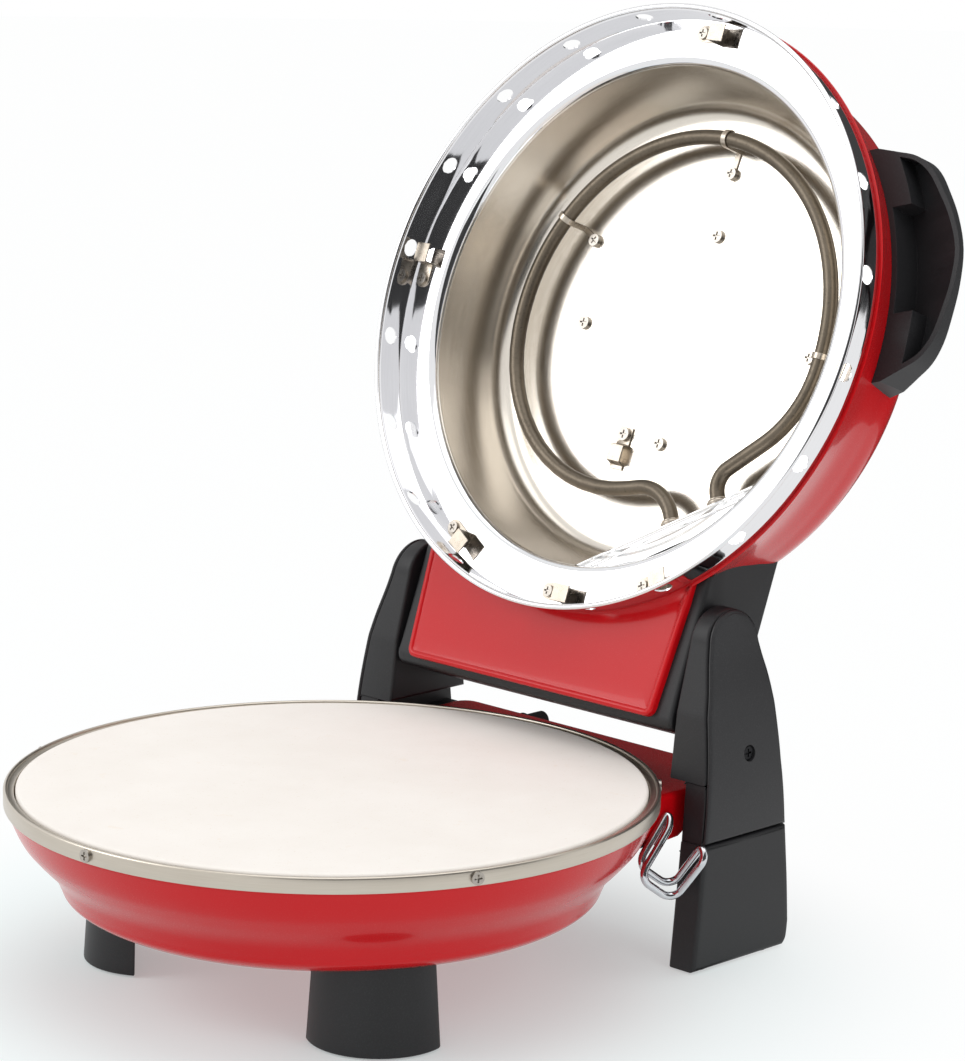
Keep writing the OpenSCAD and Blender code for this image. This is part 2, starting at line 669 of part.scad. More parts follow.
module upper_reflector() {
    color([0.85, 0.84, 0.82]) in_lid() difference() {
        rotate_extrude($fn = 180) polygon(concat(
            [[dome_r - 5.6, ring_h + 3.4]], mirror_line, [[0, mirror_h], [0, mirror_h + 0.8]],
            back(tail(beside(mirror_line, -0.8))), [[mirror_r + 0.7, ring_h + 4.2], [dome_r - 5.6, ring_h + 4.2]]));
        for (a = clip_angles) at(a, clip_r, ring_h) cylinder(h = 8, r = 1.75, $fn = 48);
        for (q = plate_screw_places) translate([q[0], q[1], mirror_h - 2]) cylinder(h = 5, r = 1.75, $fn = 48);
        for (a = element_clip_angles) at(a, loop_r - strap_reach, mirror_h - 2) cylinder(h = 5, r = 1.75, $fn = 48);
        translate(concat(out_dir * 100, [upper_depth])) rotate([0, 0, chord_dir]) translate([0, -24, -6]) cube([40, 52, 11]);
    }
}

// The upper element's line: both cold ends, the bends to them, and the loop between
element_line = concat(
    back(trace(near_start, 96, concat(near_end, [[14, 0, 0]]))),
    arc([0, 0], loop_r, 6, -188, 36),
    trace(far_start, 82, concat(far_end, [[14, 0, 0]])));

module upper_element() {
    color([0.36, 0.33, 0.3]) in_lid() translate([0, 0, upper_depth]) tube(element_line, tube_d / 2, 16);
}

module element_ferrules() {
    color("ivory") in_lid() for (tip = [near_tip, far_tip])
        translate([tip[0], tip[1], upper_depth]) rotate([0, 0, chord_dir]) along_x() difference() {
            cylinder(h = 8.5, r = 6, $fn = 48);
            translate([0, 0, -1]) cylinder(h = 12, r = tube_d / 2, $fn = 48);
        }
}

// Narrow strap from a screwed eye on the plate, up beside the tube and over it
module element_clips() {
    r = tube_d / 2 + 0.1;
    color("lightgray") in_lid() for (a = element_clip_angles) at(a, loop_r, mirror_h) mirror([0, 0, 1]) difference() {
        union() {
            translate([-strap_reach, 0, 0]) cylinder(h = 0.8, r = 3.4, $fn = 48);
            rotate([90, 0, 0]) translate([0, 0, -1.6]) linear_extrude(3.2) polygon(concat(
                [[-strap_reach, 0], [-r, 0]],
                arc([0, element_drop], r, 180, -20, 12),
                arc([0, element_drop], r + 0.8, -20, 180, 12),
                [[-r - 0.8, 0.8], [-strap_reach, 0.8]]));
        }
        translate([-strap_reach, 0, -1]) cylinder(h = 4, r = 1.7, $fn = 48);
    }
}

module plate_screws() {
    color("silver") in_lid() {
        for (i = [0:3]) translate([plate_screw_places[i][0], plate_screw_places[i][1], mirror_h - (i == 3 ? 1 : 0)])
            mirror([0, 0, 1]) screw(3.6, 1.8, 1.7, 6);
        for (a = element_clip_angles) at(a, loop_r - strap_reach, mirror_h - 0.8) mirror([0, 0, 1]) screw(3.4, 1.8, 1.7, 6);
    }
}

// Bridge of sheet over the sensor's tip, its far foot under the last plate screw
module sensor_clip() {
    color("lightgray") in_lid() translate([-19.5, 57.5, mirror_h]) rotate([0, 0, 2]) mirror([0, 0, 1]) difference() {
        translate([-4.5, 0, 0]) rotate([90, 0, 90]) linear_extrude(9) polygon([
            [-4, 0], [6, 0], [7, 4], [14.5, 4], [16, 0], [19, 0],
            [19, 0.9], [16.7, 0.9], [15.2, 4.9], [6.3, 4.9], [5.3, 0.9], [-4, 0.9]]);
        translate([0, 0, -1]) cylinder(h = 4, r = 1.7, $fn = 48);
    }
}

// Solid of the reflector's inside
module mirror_inside() {
    rotate_extrude($fn = 180) polygon(concat(
        [[0, ring_h], [mirror_r - 1, ring_h], [mirror_r - 1, ring_h + 4]], tail(mirror_line), [[0, mirror_h]]));
}

module wiring_cover() {
    color([0.88, 0.88, 0.88]) in_lid() difference() {
        intersection() {
            translate([0, 0, -0.2]) mirror_inside();
            rotate([0, 0, chord_dir]) union() {
                translate([mirror_r - 14.3, -mirror_r, ring_h + 2.4]) cube([40, 2 * mirror_r, 1]);
                for (x = [mirror_r - 13.1, mirror_r - 9.1]) translate([x, mirror_r, ring_h + 2.6])
                    rotate([90, 0, 0]) cylinder(h = 2 * mirror_r, r = 0.9, $fn = 32);
                translate([mirror_r, mirror_r, 0]) rotate([90, 0, 0]) linear_extrude(2 * mirror_r)
                    polygon([[-14.3, ring_h + 3], [-13.3, ring_h + 3], [-27.3, mirror_h + 2], [-28.3, mirror_h + 2]]);
            }
        }
        for (tip = [near_tip, far_tip])
            translate([tip[0], tip[1], upper_depth]) rotate([0, 0, chord_dir]) along_x() cylinder(h = 30, r = 6, $fn = 48);
    }
}

// Side outline of the hinge housing, in distance from the axis and depth
function housing_side(w) = concat(
    [[95, 71 - w], [95, ring_h + 3 + w]],
    arc([198, ring_h + 9], 6 - w, -90, 0, 6),
    arc([196, 63], 8 - w, 0, 90, 8));

module hinge_housing() {
    color(black) in_lid() difference() {
        union() {
            difference() {
                translate([-housing_hw, 0, 0]) rotate([90, 0, 90]) linear_extrude(2 * housing_hw) polygon(housing_side(0));
                translate([-housing_hw + 3, 0, 0]) rotate([90, 0, 90]) linear_extrude(2 * housing_hw - 6) polygon(housing_side(3));
                translate([0, 0, ring_h]) linear_extrude(8) panel_outline(4);
            }
            for (m = [0, 1]) mirror([m, 0, 0])
                translate([housing_hw - 7.2, hinge_y, hinge_z - lid_z]) along_x() cylinder(h = 5, r = pin_r + 4, $fn = 60);
        }
        dome_outside();
        translate([-150, hinge_y, hinge_z - lid_z]) along_x() cylinder(h = 300, r = pin_r + pin_gap, $fn = 60);
    }
}

module lid_terminal_block() {
    color("ivory") in_lid() translate([-20, 172, 59]) difference() {
        cube([40, 16, 9]);
        for (i = [0:2]) translate([8 + 12 * i, 8, -1]) cylinder(h = 5, r = 3, $fn = 48);
    }
}

// Flat outline of the handle, x pointing away from the lid
handle_line = smooth([
    [144, -61.5], [155, -57.5], [166, -53], [174, -45], [180.5, -32], [186, -17.5], [189, 0],
    [186, 17.5], [180.5, 32], [174, 45], [166, 53], [155, 57.5], [144, 61.5]], 4);

module handle_screw_places() {
    for (s = [-1, 1]) at(-90 + handle_angle, 0, 0) translate([141.2, 36 * s, 50]) rotate([0, -90, 0]) children();
}

// Wedge-shaped handle: hollow below, with a flange against the dome and two screw blocks
module handle() {
    outline = concat([[126, -61.5]], handle_line, [[126, 61.5]]);
    color(black) in_lid() difference() {
        at(-90 + handle_angle, 0, 0) difference() {
            intersection() {
                translate([0, 0, handle_low - 1]) linear_extrude(40) polygon(outline);
                rotate_extrude($fn = 180) polygon([[100, handle_low], [152, handle_low], [192, handle_low + 5.6],
                    [192, handle_high - 17.7], [146, handle_high], [100, handle_high]]);
            }
            difference() {
                intersection() {
                    translate([0, 0, handle_low - 2]) linear_extrude(40) polygon(inset(outline, 2.5));
                    rotate_extrude($fn = 180) polygon([[155.2, handle_low - 1], [192, handle_low - 1],
                        [192, handle_high - 19.7], [155.2, handle_high - 7.5]]);
                }
                for (s = [-1, 1]) intersection() {
                    translate([0, 0, handle_low - 3]) cylinder(h = 40, r = 165.5, $fn = 180);
                    translate([140, s * 44.5 - 16.5, handle_low - 3]) cube([40, 33, 40]);
                }
            }
        }
        dome_outside();
        handle_screw_places() translate([0, 0, -18]) cylinder(h = 30, r = 1.9, $fn = 48);
    }
}

module handle_screws() {
    color("silver") in_lid() handle_screw_places() screw(3.4, 2, 1.9, 16);
}

base_pan();
rim_ring();
rim_screws();
heat_shield();
lower_element();
lower_element_clips();
lower_element_ferrules();
front_foot_right();
front_foot_left();
foot_pads();
foot_screws();
rear_leg_right();
rear_leg_left();
leg_cover_right();
leg_cover_left();
leg_cover_screws();
leg_fixing_screws();
leg_pads();
hinge_pin_right();
hinge_pin_left();
hinge_washers();
cord_hook_right();
cord_hook_left();
rear_cover();
cord_gland();
terminal_block();
thermostat();
thermal_fuse();
pizza_stone();
lid_dome();
vent_ring();
ring_clips();
ring_clip_screws();
upper_reflector();
upper_element();
element_ferrules();
element_clips();
plate_screws();
sensor_clip();
wiring_cover();
hinge_housing();
lid_terminal_block();
handle();
handle_screws();
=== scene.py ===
"""A red pizza maker with a cream stone and an open lid, dressed for a studio picture.

Lengths are written in millimetres and angles in degrees; the meshes are in metres. The lid's parts are written as they
lie when the lid is shut, with the third number as depth into the lid, and swung() opens them.
"""

import math

import bmesh
import bpy
import numpy as np
from mathutils import Matrix, Vector

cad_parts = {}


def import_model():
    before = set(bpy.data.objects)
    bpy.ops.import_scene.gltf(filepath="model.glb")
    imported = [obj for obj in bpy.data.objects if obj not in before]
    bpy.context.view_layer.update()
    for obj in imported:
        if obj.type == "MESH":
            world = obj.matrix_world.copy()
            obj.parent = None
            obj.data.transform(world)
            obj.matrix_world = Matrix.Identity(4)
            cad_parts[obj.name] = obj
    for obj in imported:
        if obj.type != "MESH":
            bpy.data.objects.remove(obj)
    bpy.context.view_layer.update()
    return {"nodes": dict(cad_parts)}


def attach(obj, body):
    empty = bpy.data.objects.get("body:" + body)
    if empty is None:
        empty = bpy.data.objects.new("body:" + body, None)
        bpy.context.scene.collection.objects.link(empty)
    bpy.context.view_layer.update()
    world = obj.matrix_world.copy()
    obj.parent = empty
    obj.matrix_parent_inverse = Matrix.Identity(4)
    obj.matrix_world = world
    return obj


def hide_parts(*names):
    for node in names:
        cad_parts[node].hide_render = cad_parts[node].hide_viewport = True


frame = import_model()

MM = 0.001
# Stone and rim: radii, height of the stone's top and of the band's lower edge
STONE_R, STONE_TOP, RIM_R, BAND_Z = 155.0, 99.5, 161.0, 91.9
# Front feet: radius of the round side, place and turn. Rear legs: height of the cover's seam
FOOT_R, FOOT_OUT, FOOT_AT, FOOT_TURN, SEAM_Z = 34.5, 94.2, -29.6, -20.5, 67.0
# Hinge axis, height of the shut lid, and its swing in degrees
HINGE_Y, HINGE_Z, LID_Z, OPEN = 169.8, 144.2, 100.0, 111.0
# Lid: depth of the vent ring and radius of its wall, radius and depth of the dome
RING_H, SKIRT_R, DOME_R, DOME_H = 18.0, 158.5, 160.0, 92.0
# Reflector: radius at its mouth and depth of its plate. Direction of the chord that the wiring cover lies on
MIRROR_R, PLATE_D, CHORD = 134.3, 64.0, 60.0
# Heating tube: radius of its loop, radius of the tube, and depth in the lid
LOOP_R, TUBE_R, TUBE_D = 104.5, 4.0, 52.0


def studio_camera():
    """Camera at the photograph's angle. The focal length and the picture's height are in pixels."""
    az, el, roll = (math.radians(a) for a in (44.64, 11.96, 0.85))
    aim, distance, focal, high = Vector((100.7, -0.13, 241.59)), 1812.64, 3892.45, 1061
    back = Vector((math.sin(az) * math.cos(el), -math.cos(az) * math.cos(el), math.sin(el)))
    right = Vector((math.cos(az), math.sin(az), 0))
    up = back.cross(right)
    across = right * math.cos(roll) + up * math.sin(roll)
    upright = up * math.cos(roll) - right * math.sin(roll)
    data = bpy.data.cameras.new("studio_camera")
    data.sensor_width, data.lens = 36, focal * 36 / high
    data.clip_start, data.clip_end = 0.05, 50
    camera = bpy.data.objects.new("studio_camera", data)
    bpy.context.scene.collection.objects.link(camera)
    turn = Matrix((across, upright, back)).transposed()
    camera.matrix_world = Matrix.Translation((aim + distance * back) * MM) @ turn.to_4x4()
    bpy.context.scene.camera = camera


studio_camera()


# Lines and surfaces

def sin(a):
    """Sine of degrees."""
    return np.sin(np.radians(a))


def cos(a):
    """Cosine of degrees."""
    return np.cos(np.radians(a))


def points(*columns):
    """Points from numbers or arrays of coordinates that fit together."""
    return np.stack(np.broadcast_arrays(*columns), -1).astype(float)


def arc(x, y, r, a0, a1, n=8):
    """n + 1 points of a circle about (x, y) from angle a0 to a1."""
    a = np.linspace(a0, a1, n + 1)
    return points(x + r * cos(a), y + r * sin(a))


def unit(v):
    """Vectors of length 1 in the directions of v."""
    return v / np.maximum(np.linalg.norm(v, axis=-1, keepdims=True), 1e-12)


def smooth(line, n):
    """Smooth line through points, n steps a stretch: a cubic between each pair, whose directions at the points halve
    the angle between the stretches that meet there."""
    p = np.array(line, float)
    d = unit(np.diff(p, axis=0))
    t = np.concatenate([d[:1], unit(d[:-1] + d[1:]), d[-1:]])
    s = (np.arange(n) / n)[None, :, None]
    a, b, ta, tb = p[:-1, None], p[1:, None], t[:-1, None], t[1:, None]
    length = np.linalg.norm(b - a, axis=-1, keepdims=True)
    q = (a * (1 - s) ** 2 * (1 + 2 * s) + b * s * s * (3 - 2 * s)
         + ta * length * s * (1 - s) ** 2 - tb * length * s * s * (1 - s))
    return np.concatenate([q.reshape(-1, p.shape[1]), p[-1:]])


def beside(line, w):
    """A flat line moved sideways by w to its left."""
    d = unit(np.diff(line, axis=0))
    t = np.concatenate([d[:1], unit(d[:-1] + d[1:]), d[-1:]])
    return line + w * points(-t[:, 1], t[:, 0])


def joined(*lines):
    """One line of points from several."""
    return np.concatenate([np.array(line, float).reshape(-1, np.shape(lines[0])[-1]) for line in lines])


def corners(outline, r, n=6):
    """A closed flat outline whose corners become arcs: each corner's two sides are cut back by r times the tangent of
    half the turn, and an arc of radius r joins the cuts. r is one number or one for each corner."""
    p = np.array(outline, float)
    before, after = unit(p - np.roll(p, 1, 0)), unit(np.roll(p, -1, 0) - p)
    turn = np.arctan2(before[:, 0] * after[:, 1] - before[:, 1] * after[:, 0], (before * after).sum(1))
    radius = np.broadcast_to(r, turn.shape)
    start = p - before * (radius * np.tan(abs(turn) / 2))[:, None]
    left = points(-before[:, 1], before[:, 0]) * np.sign(turn)[:, None]
    s = np.linspace(0, 1, n + 1)[None, :] * abs(turn)[:, None]
    bend = left[:, None] * (1 - np.cos(s))[..., None] + before[:, None] * np.sin(s)[..., None]
    return (start[:, None] + radius[:, None, None] * bend).reshape(-1, 2)


def inset(outline, w):
    """A closed flat outline moved inwards by w, each point along the line that halves its corner."""
    p = outline
    step = unit(np.roll(p, -1, 0) - p + 1e-9)
    previous = unit(p - np.roll(p, 1, 0) + 1e-9)
    area = (p[:, 0] * np.roll(p[:, 1], -1) - np.roll(p[:, 0], -1) * p[:, 1]).sum()
    m = points(-(step + previous)[:, 1], (step + previous)[:, 0]) * np.sign(area)
    return p + m * (2 * w / np.maximum((m * m).sum(1), 1.2))[:, None]


def evenly(line, n):
    """n + 1 points at equal steps along a line of points."""
    d = np.concatenate([[0], np.cumsum(np.linalg.norm(np.diff(line, axis=0), axis=1))])
    s = np.linspace(0, d[-1], n + 1)
    return np.stack([np.interp(s, d, line[:, k]) for k in range(line.shape[1])], -1)


def ring(outline):
    """A closed outline with its first point again at its end."""
    return np.concatenate([outline, outline[:1]])


def revolve(profile, n=180, start=0.0):
    """Profile of (radius, height) turned about the z axis: (r cos a, r sin a, h) on a grid of angle and profile."""
    profile = np.array(profile, float)
    a = start + np.linspace(0, 360.0, n + 1)[:, None]
    return points(profile[None, :, 0] * cos(a), profile[None, :, 0] * sin(a), profile[None, :, 1])


def at(angle, p):
    """Points turned about the z axis by an angle."""
    x, y = p[..., 0], p[..., 1]
    return points(x * cos(angle) - y * sin(angle), x * sin(angle) + y * cos(angle), p[..., 2])


def slab(outline, levels):
    """Closed body from a flat outline: each level (inset, height) gives one row, and the first and last rows shrink
    onto the outline's middle, so both ends are closed."""
    centre = outline.mean(0)
    rows = [points(*ring(inset(outline, w)).T, h) for w, h in levels]
    shrunk = [[points(*(centre + (row[:, :2] - centre) * k).T, row[:, 2]) for k in (0, 0.5)]
              for row in (rows[0], rows[-1])]
    return np.stack([*shrunk[0], *rows, *shrunk[1][::-1]])


def rounded_levels(low, high, r, n=4):
    """Levels of a slab with edges rounded by r: inset r(1 - sin a), height low + r(1 - cos a), and the same above."""
    a = np.linspace(0, 90, n + 1)
    up = points(r * (1 - sin(a)), low + r * (1 - cos(a)))
    return joined(up, points(up[::-1, 0], low + high - up[::-1, 1]))


def tube(path, radius, side, sides=20, closed=False):
    """Round tube: path point + r (a cos t + b sin t), where a is the side direction made square to the path and b is
    square to both. An open tube shrinks to a point at each end, so it is closed."""
    path = np.array(path, float)
    radius = np.broadcast_to(np.array(radius, float), path.shape[:1])
    if closed:
        along = unit(np.roll(path, -1, 0) - np.roll(path, 1, 0))
    else:
        along = unit(np.gradient(path, axis=0))
    side = np.broadcast_to(np.array(side, float), path.shape)
    b = unit(np.cross(along, side))
    a = np.cross(b, along)
    t = np.linspace(0, 360, sides + 1)
    round_path = a[:, None] * cos(t)[None, :, None] + b[:, None] * sin(t)[None, :, None]
    body = path[:, None] + radius[:, None, None] * round_path
    if closed:
        return np.concatenate([body, body[:1]])
    tips = [np.broadcast_to(tip[:, None], body[:1].shape) for tip in (path[:1], path[-1:])]
    return np.concatenate([tips[0], body, tips[1]])


def swung(p):
    """Points of the shut lid turned back by 111 degrees about the hinge's axis."""
    y, z = p[..., 1] - HINGE_Y, p[..., 2] + LID_Z - HINGE_Z
    return points(p[..., 0], HINGE_Y + y * cos(OPEN) + z * sin(OPEN), HINGE_Z - y * sin(OPEN) + z * cos(OPEN))


def mirrored(p):
    """Points of the right side carried to the left."""
    return p * [-1, 1, 1]


def finish_mesh(mesh, sharp):
    """Joins points that meet, points the faces outwards, and shades smooth with sharp edges past an angle."""
    bm = bmesh.new()
    bm.from_mesh(mesh)
    bmesh.ops.remove_doubles(bm, verts=bm.verts, dist=2e-6)
    bmesh.ops.dissolve_degenerate(bm, edges=bm.edges, dist=1e-7)
    bmesh.ops.recalc_face_normals(bm, faces=bm.faces)
    for face in bm.faces:
        face.smooth = True
    bm.to_mesh(mesh)
    bm.free()
    mesh.set_sharp_from_angle(angle=math.radians(sharp))


def piece(name, body, slot, paint, grids, nodes, lid=False, sharp=38):
    """One object from grids of points. Each cell of a grid is a face. paint is a material, or one for each grid."""
    paints = list(paint) if isinstance(paint, (list, tuple)) else [paint]
    which = [min(k, len(paints) - 1) for k in range(len(grids))]
    corners_of, faces, finish, base = [], [], [], 0
    for grid, k in zip(grids, which):
        n, m = grid.shape[:2]
        i = np.arange(n * m).reshape(n, m) + base
        cells = np.stack([i[:-1, :-1], i[1:, :-1], i[1:, 1:], i[:-1, 1:]], -1).reshape(-1, 4)
        corners_of.append(grid.reshape(-1, 3))
        faces += cells.tolist()
        finish += [k] * len(cells)
        base += n * m
    place = np.concatenate(corners_of)
    place = (swung(place) if lid else place) * MM
    mesh = bpy.data.meshes.new(name)
    mesh.from_pydata(place.tolist(), [], faces)
    mesh.polygons.foreach_set("material_index", finish)
    finish_mesh(mesh, sharp)
    return dressed(name, mesh, body, slot, paints, nodes)


def dressed(name, mesh, body, slot, paints, nodes):
    """Puts a mesh into the scene with its materials and body, and hides the CAD nodes that it stands for. slot is not
    used.
    """
    mesh.name = name
    mesh.materials.clear()
    for one in paints:
        mesh.materials.append(one)
    thing = bpy.data.objects.new(name, mesh)
    bpy.context.scene.collection.objects.link(thing)
    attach(thing, body)
    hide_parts(*nodes)
    return thing


def eased(node, body, slot, paint, width, sharp=30):
    """A copy of a CAD node with its flat faces whole and its edges rounded by a small width."""
    mesh = frame["nodes"][node].data.copy()
    bm = bmesh.new()
    bm.from_mesh(mesh)
    bmesh.ops.remove_doubles(bm, verts=bm.verts, dist=1e-6)
    bmesh.ops.dissolve_degenerate(bm, edges=bm.edges, dist=1e-6)
    bmesh.ops.dissolve_limit(bm, angle_limit=math.radians(0.6), verts=bm.verts, edges=bm.edges)
    for face in bm.faces:
        face.smooth = True
    bm.to_mesh(mesh)
    bm.free()
    mesh.set_sharp_from_angle(angle=math.radians(sharp))
    thing = dressed(node + "_finish", mesh, body, slot, [paint], [node])
    if width:
        bevel = thing.modifiers.new("eased_edges", "BEVEL")
        bevel.width, bevel.segments, bevel.limit_method = width * MM, 2, "ANGLE"
        bevel.angle_limit, bevel.harden_normals = math.radians(sharp), True
        bevel.use_clamp_overlap = True
    return thing


# Finishes

class Value:
    """A socket in a material. Its operators add Math nodes."""

    def __init__(self, paint, socket):
        self.paint, self.socket = paint, socket

    def math(self, how, *others):
        """A Math node on this value and others."""
        return self.paint.add("ShaderNodeMath", {"operation": how}, [self, *others])

    def __add__(self, other): return self.math("ADD", other)
    def __sub__(self, other): return self.math("SUBTRACT", other)
    def __mul__(self, other): return self.math("MULTIPLY", other)
    def __pow__(self, other): return self.math("POWER", other)
    __radd__, __rmul__ = __add__, __mul__

    def between(self, low, high, new_low=0.0, new_high=1.0):
        """Eased step of the value from low to high."""
        return self.paint.add("ShaderNodeMapRange", {"interpolation_type": "SMOOTHSTEP"},
                              [self, low, high, new_low, new_high])


class Paint:
    """A material under way: add() makes any node, and the finish goes through shade()."""

    def __init__(self, name):
        self.material = bpy.data.materials.new(name)
        self.material.use_nodes = True
        self.tree = self.material.node_tree
        self.shader = self.tree.nodes["Principled BSDF"]
        self.place = self.add("ShaderNodeTexCoord", out="Object")

    def feed(self, socket, value):
        """Links a Value to a socket, or sets a constant on it. A colour of three numbers gets a fourth."""
        if isinstance(value, Value):
            self.tree.links.new(value.socket, socket)
        elif isinstance(value, tuple) and len(value) == 3 and socket.type == "RGBA":
            socket.default_value = (*value, 1)
        else:
            socket.default_value = value

    def add(self, kind, settings=None, sockets=(), out=0):
        """Makes a node with its settings and sockets, and returns its socket named out."""
        node = self.tree.nodes.new(kind)
        for key, value in (settings or {}).items():
            if key == "stops":
                while len(node.color_ramp.elements) < len(value):
                    node.color_ramp.elements.new(0.5)
                for stop, (where, colour) in zip(node.color_ramp.elements, value):
                    stop.position, stop.color = where, (*colour, 1)
            else:
                setattr(node, key, value)
        pairs = sockets.items() if isinstance(sockets, dict) else enumerate(sockets)
        for key, value in pairs:
            self.feed(node.inputs[key], value)
        return Value(self, node.outputs[out])

    def noise(self, scale, detail=3.0, rough=0.55, where=None):
        """Noise with so many waves a metre, at the object's own place unless another is given."""
        return self.add("ShaderNodeTexNoise", {},
                        {"Vector": where or self.place, "Scale": scale, "Detail": detail, "Roughness": rough})

    def shut(self):
        """Object coordinates in metres as if the lid were shut, so that a pattern can follow the lid's own axis."""
        hinge, rest = (0, HINGE_Y * MM, HINGE_Z * MM), (0, HINGE_Y * MM, (HINGE_Z - LID_Z) * MM)
        centred = self.add("ShaderNodeVectorMath", {"operation": "SUBTRACT"}, [self.place, hinge])
        turned = self.add("ShaderNodeVectorRotate", {"rotation_type": "X_AXIS"},
                          {"Vector": centred, "Angle": math.radians(OPEN)})
        return self.add("ShaderNodeVectorMath", {"operation": "ADD"}, [turned, rest])

    def round(self, where=None):
        """Radius and angle about the z axis, and height, of a place."""
        where = where or self.place
        x, y, z = (self.add("ShaderNodeSeparateXYZ", {}, [where], out=k) for k in "XYZ")
        return (x * x + y * y) ** 0.5, y.math("ARCTAN2", x), z

    def mix(self, a, b, share):
        """Colour a where the share is 0, b where it is 1."""
        return self.add("ShaderNodeMix", {"data_type": "RGBA"}, {"Factor": share, 6: a, 7: b}, out=2)

    def bump(self, height, depth):
        """Bump of a height in steps of depth millimetres."""
        return self.add("ShaderNodeBump", {}, {"Height": height, "Distance": depth * MM, "Strength": 1.0})

    def shade(self, **sockets):
        """Sets or links the finish's sockets and returns the material."""
        for key, value in sockets.items():
            self.feed(self.shader.inputs[key.replace("_", " ")], value)
        return self.material


def srgb(r, g, b):
    """Linear colour of a colour given as 0 to 255."""
    c = np.array([r, g, b]) / 255
    return tuple(float(x) for x in np.where(c <= 0.04045, c / 12.92, ((c + 0.055) / 1.055) ** 2.4))


def enamel(name, peel):
    """Glossy red stoved enamel: slight shifts of the red, a fine orange peel under a clear coat."""
    p = Paint(name)
    cloud = p.noise(9, 2)
    red = p.mix(srgb(180, 7, 15), srgb(196, 11, 20), cloud)
    wave = p.noise(320, 2, 0.5)
    fleck = p.noise(2600, 1)
    return p.shade(Base_Color=red, Roughness=fleck * 0.08 + 0.22, Coat_Weight=0.45, Coat_Roughness=0.06, Coat_IOR=1.38,
                   Specular_IOR_Level=0.15, Normal=p.bump(wave + p.noise(1100, 1) * 0.25, peel))


def sheet_metal(name, colour, dark, rough, spread, lid=False, lines=0.0, lift=0.0):
    """Bare metal turned about an axis: streaks that run round it, a little tarnish, and fine lines in the surface."""
    p = Paint(name)
    where = p.shut() if lid else p.place
    r, angle, z = p.round(where)
    turned = p.add("ShaderNodeCombineXYZ", {}, [r * 1000, angle * 4, z * 1000])
    streak = p.noise(1.6, 4, 0.6, turned)
    smudge = p.noise(22, 3, 0.5, where)
    colour_here = p.mix(srgb(*dark), srgb(*colour), streak * 0.6 + smudge * 0.5)
    normal = p.bump(streak + smudge * lift, lines) if lines or lift else p.bump(smudge, 0.002)
    return p.shade(Base_Color=colour_here, Metallic=1.0, Normal=normal,
                   Roughness=streak * spread + smudge * spread * 0.6 + rough)


def plain_metal(name, colour, dark, rough, grain=0.01):
    """Small metal part: a faint cloud of tarnish and a fine grain."""
    p = Paint(name)
    cloud = p.noise(260, 3)
    return p.shade(Base_Color=p.mix(srgb(*dark), srgb(*colour), cloud), Metallic=1.0, Roughness=cloud * 0.12 + rough,
                   Normal=p.bump(p.noise(1800, 2), grain))


def moulded(name, colour, worn, rough, grain, gloss=0.5):
    """Moulded plastic or rubber: a fine spark-eroded grain, with its raised spots a shade paler."""
    p = Paint(name)
    spots = p.noise(1500, 2, 0.6)
    cloud = p.noise(18, 3)
    mixed = p.mix(srgb(*colour), srgb(*worn), spots.between(0.45, 0.75) * 0.6 + cloud * 0.3)
    return p.shade(Base_Color=mixed, Roughness=spots * 0.12 + cloud * 0.06 + rough, Specular_IOR_Level=gloss,
                   Normal=p.bump(spots, grain))


def stoneware():
    """Cream stone: a matt, slightly cloudy body with sparse darker and paler specks and a fine pitted skin."""
    p = Paint("cream_stoneware")
    cloud = p.noise(26, 5, 0.6)
    body = p.mix(srgb(232, 226, 219), srgb(241, 237, 232), cloud)
    speck = p.noise(900, 2, 0.6).between(0.66, 0.74)
    spotted = p.mix(body, srgb(214, 200, 180), speck * 0.5)
    stain = p.noise(60, 4, 0.7).between(0.62, 0.72)
    coloured = p.mix(spotted, srgb(232, 219, 203), stain * 0.35)
    return p.shade(Base_Color=coloured, Roughness=cloud * 0.1 + 0.62, Specular_IOR_Level=0.3,
                   Normal=p.bump(p.noise(1400, 3) + p.noise(420, 2), 0.03))


def heated_tube():
    """Steel sheath browned by heat: bands along it from grey to brown, with a satin, slightly rough skin."""
    p = Paint("browned_tube")
    where = p.shut()
    r, angle, z = p.round(where)
    band = p.noise(3.2, 3, 0.6, p.add("ShaderNodeCombineXYZ", {}, [angle, r * 9, 0.0]))
    fine = p.noise(700, 3)
    colour = p.mix(p.mix(srgb(84, 76, 66), srgb(122, 112, 98), band), srgb(60, 54, 48), fine.between(0.5, 0.8) * 0.5)
    return p.shade(Base_Color=colour, Metallic=0.85, Roughness=fine * 0.14 + 0.3, Normal=p.bump(fine, 0.012))


def rolled_cover():
    """Bright sheet with a rolled bead that follows the lid's round edge, 126 to 130 mm from its axis."""
    p = Paint("cover_bright")
    r, _, _ = p.round(p.shut())
    bead = (r.between(0.1255, 0.1275) - r.between(0.1285, 0.1305)) + p.noise(900, 2) * 0.004
    return p.shade(Base_Color=p.mix(srgb(232, 232, 232), srgb(246, 246, 246), p.noise(40, 2)), Metallic=1.0,
                   Roughness=p.noise(300, 2) * 0.04 + 0.05, Normal=p.bump(bead, 1.2))


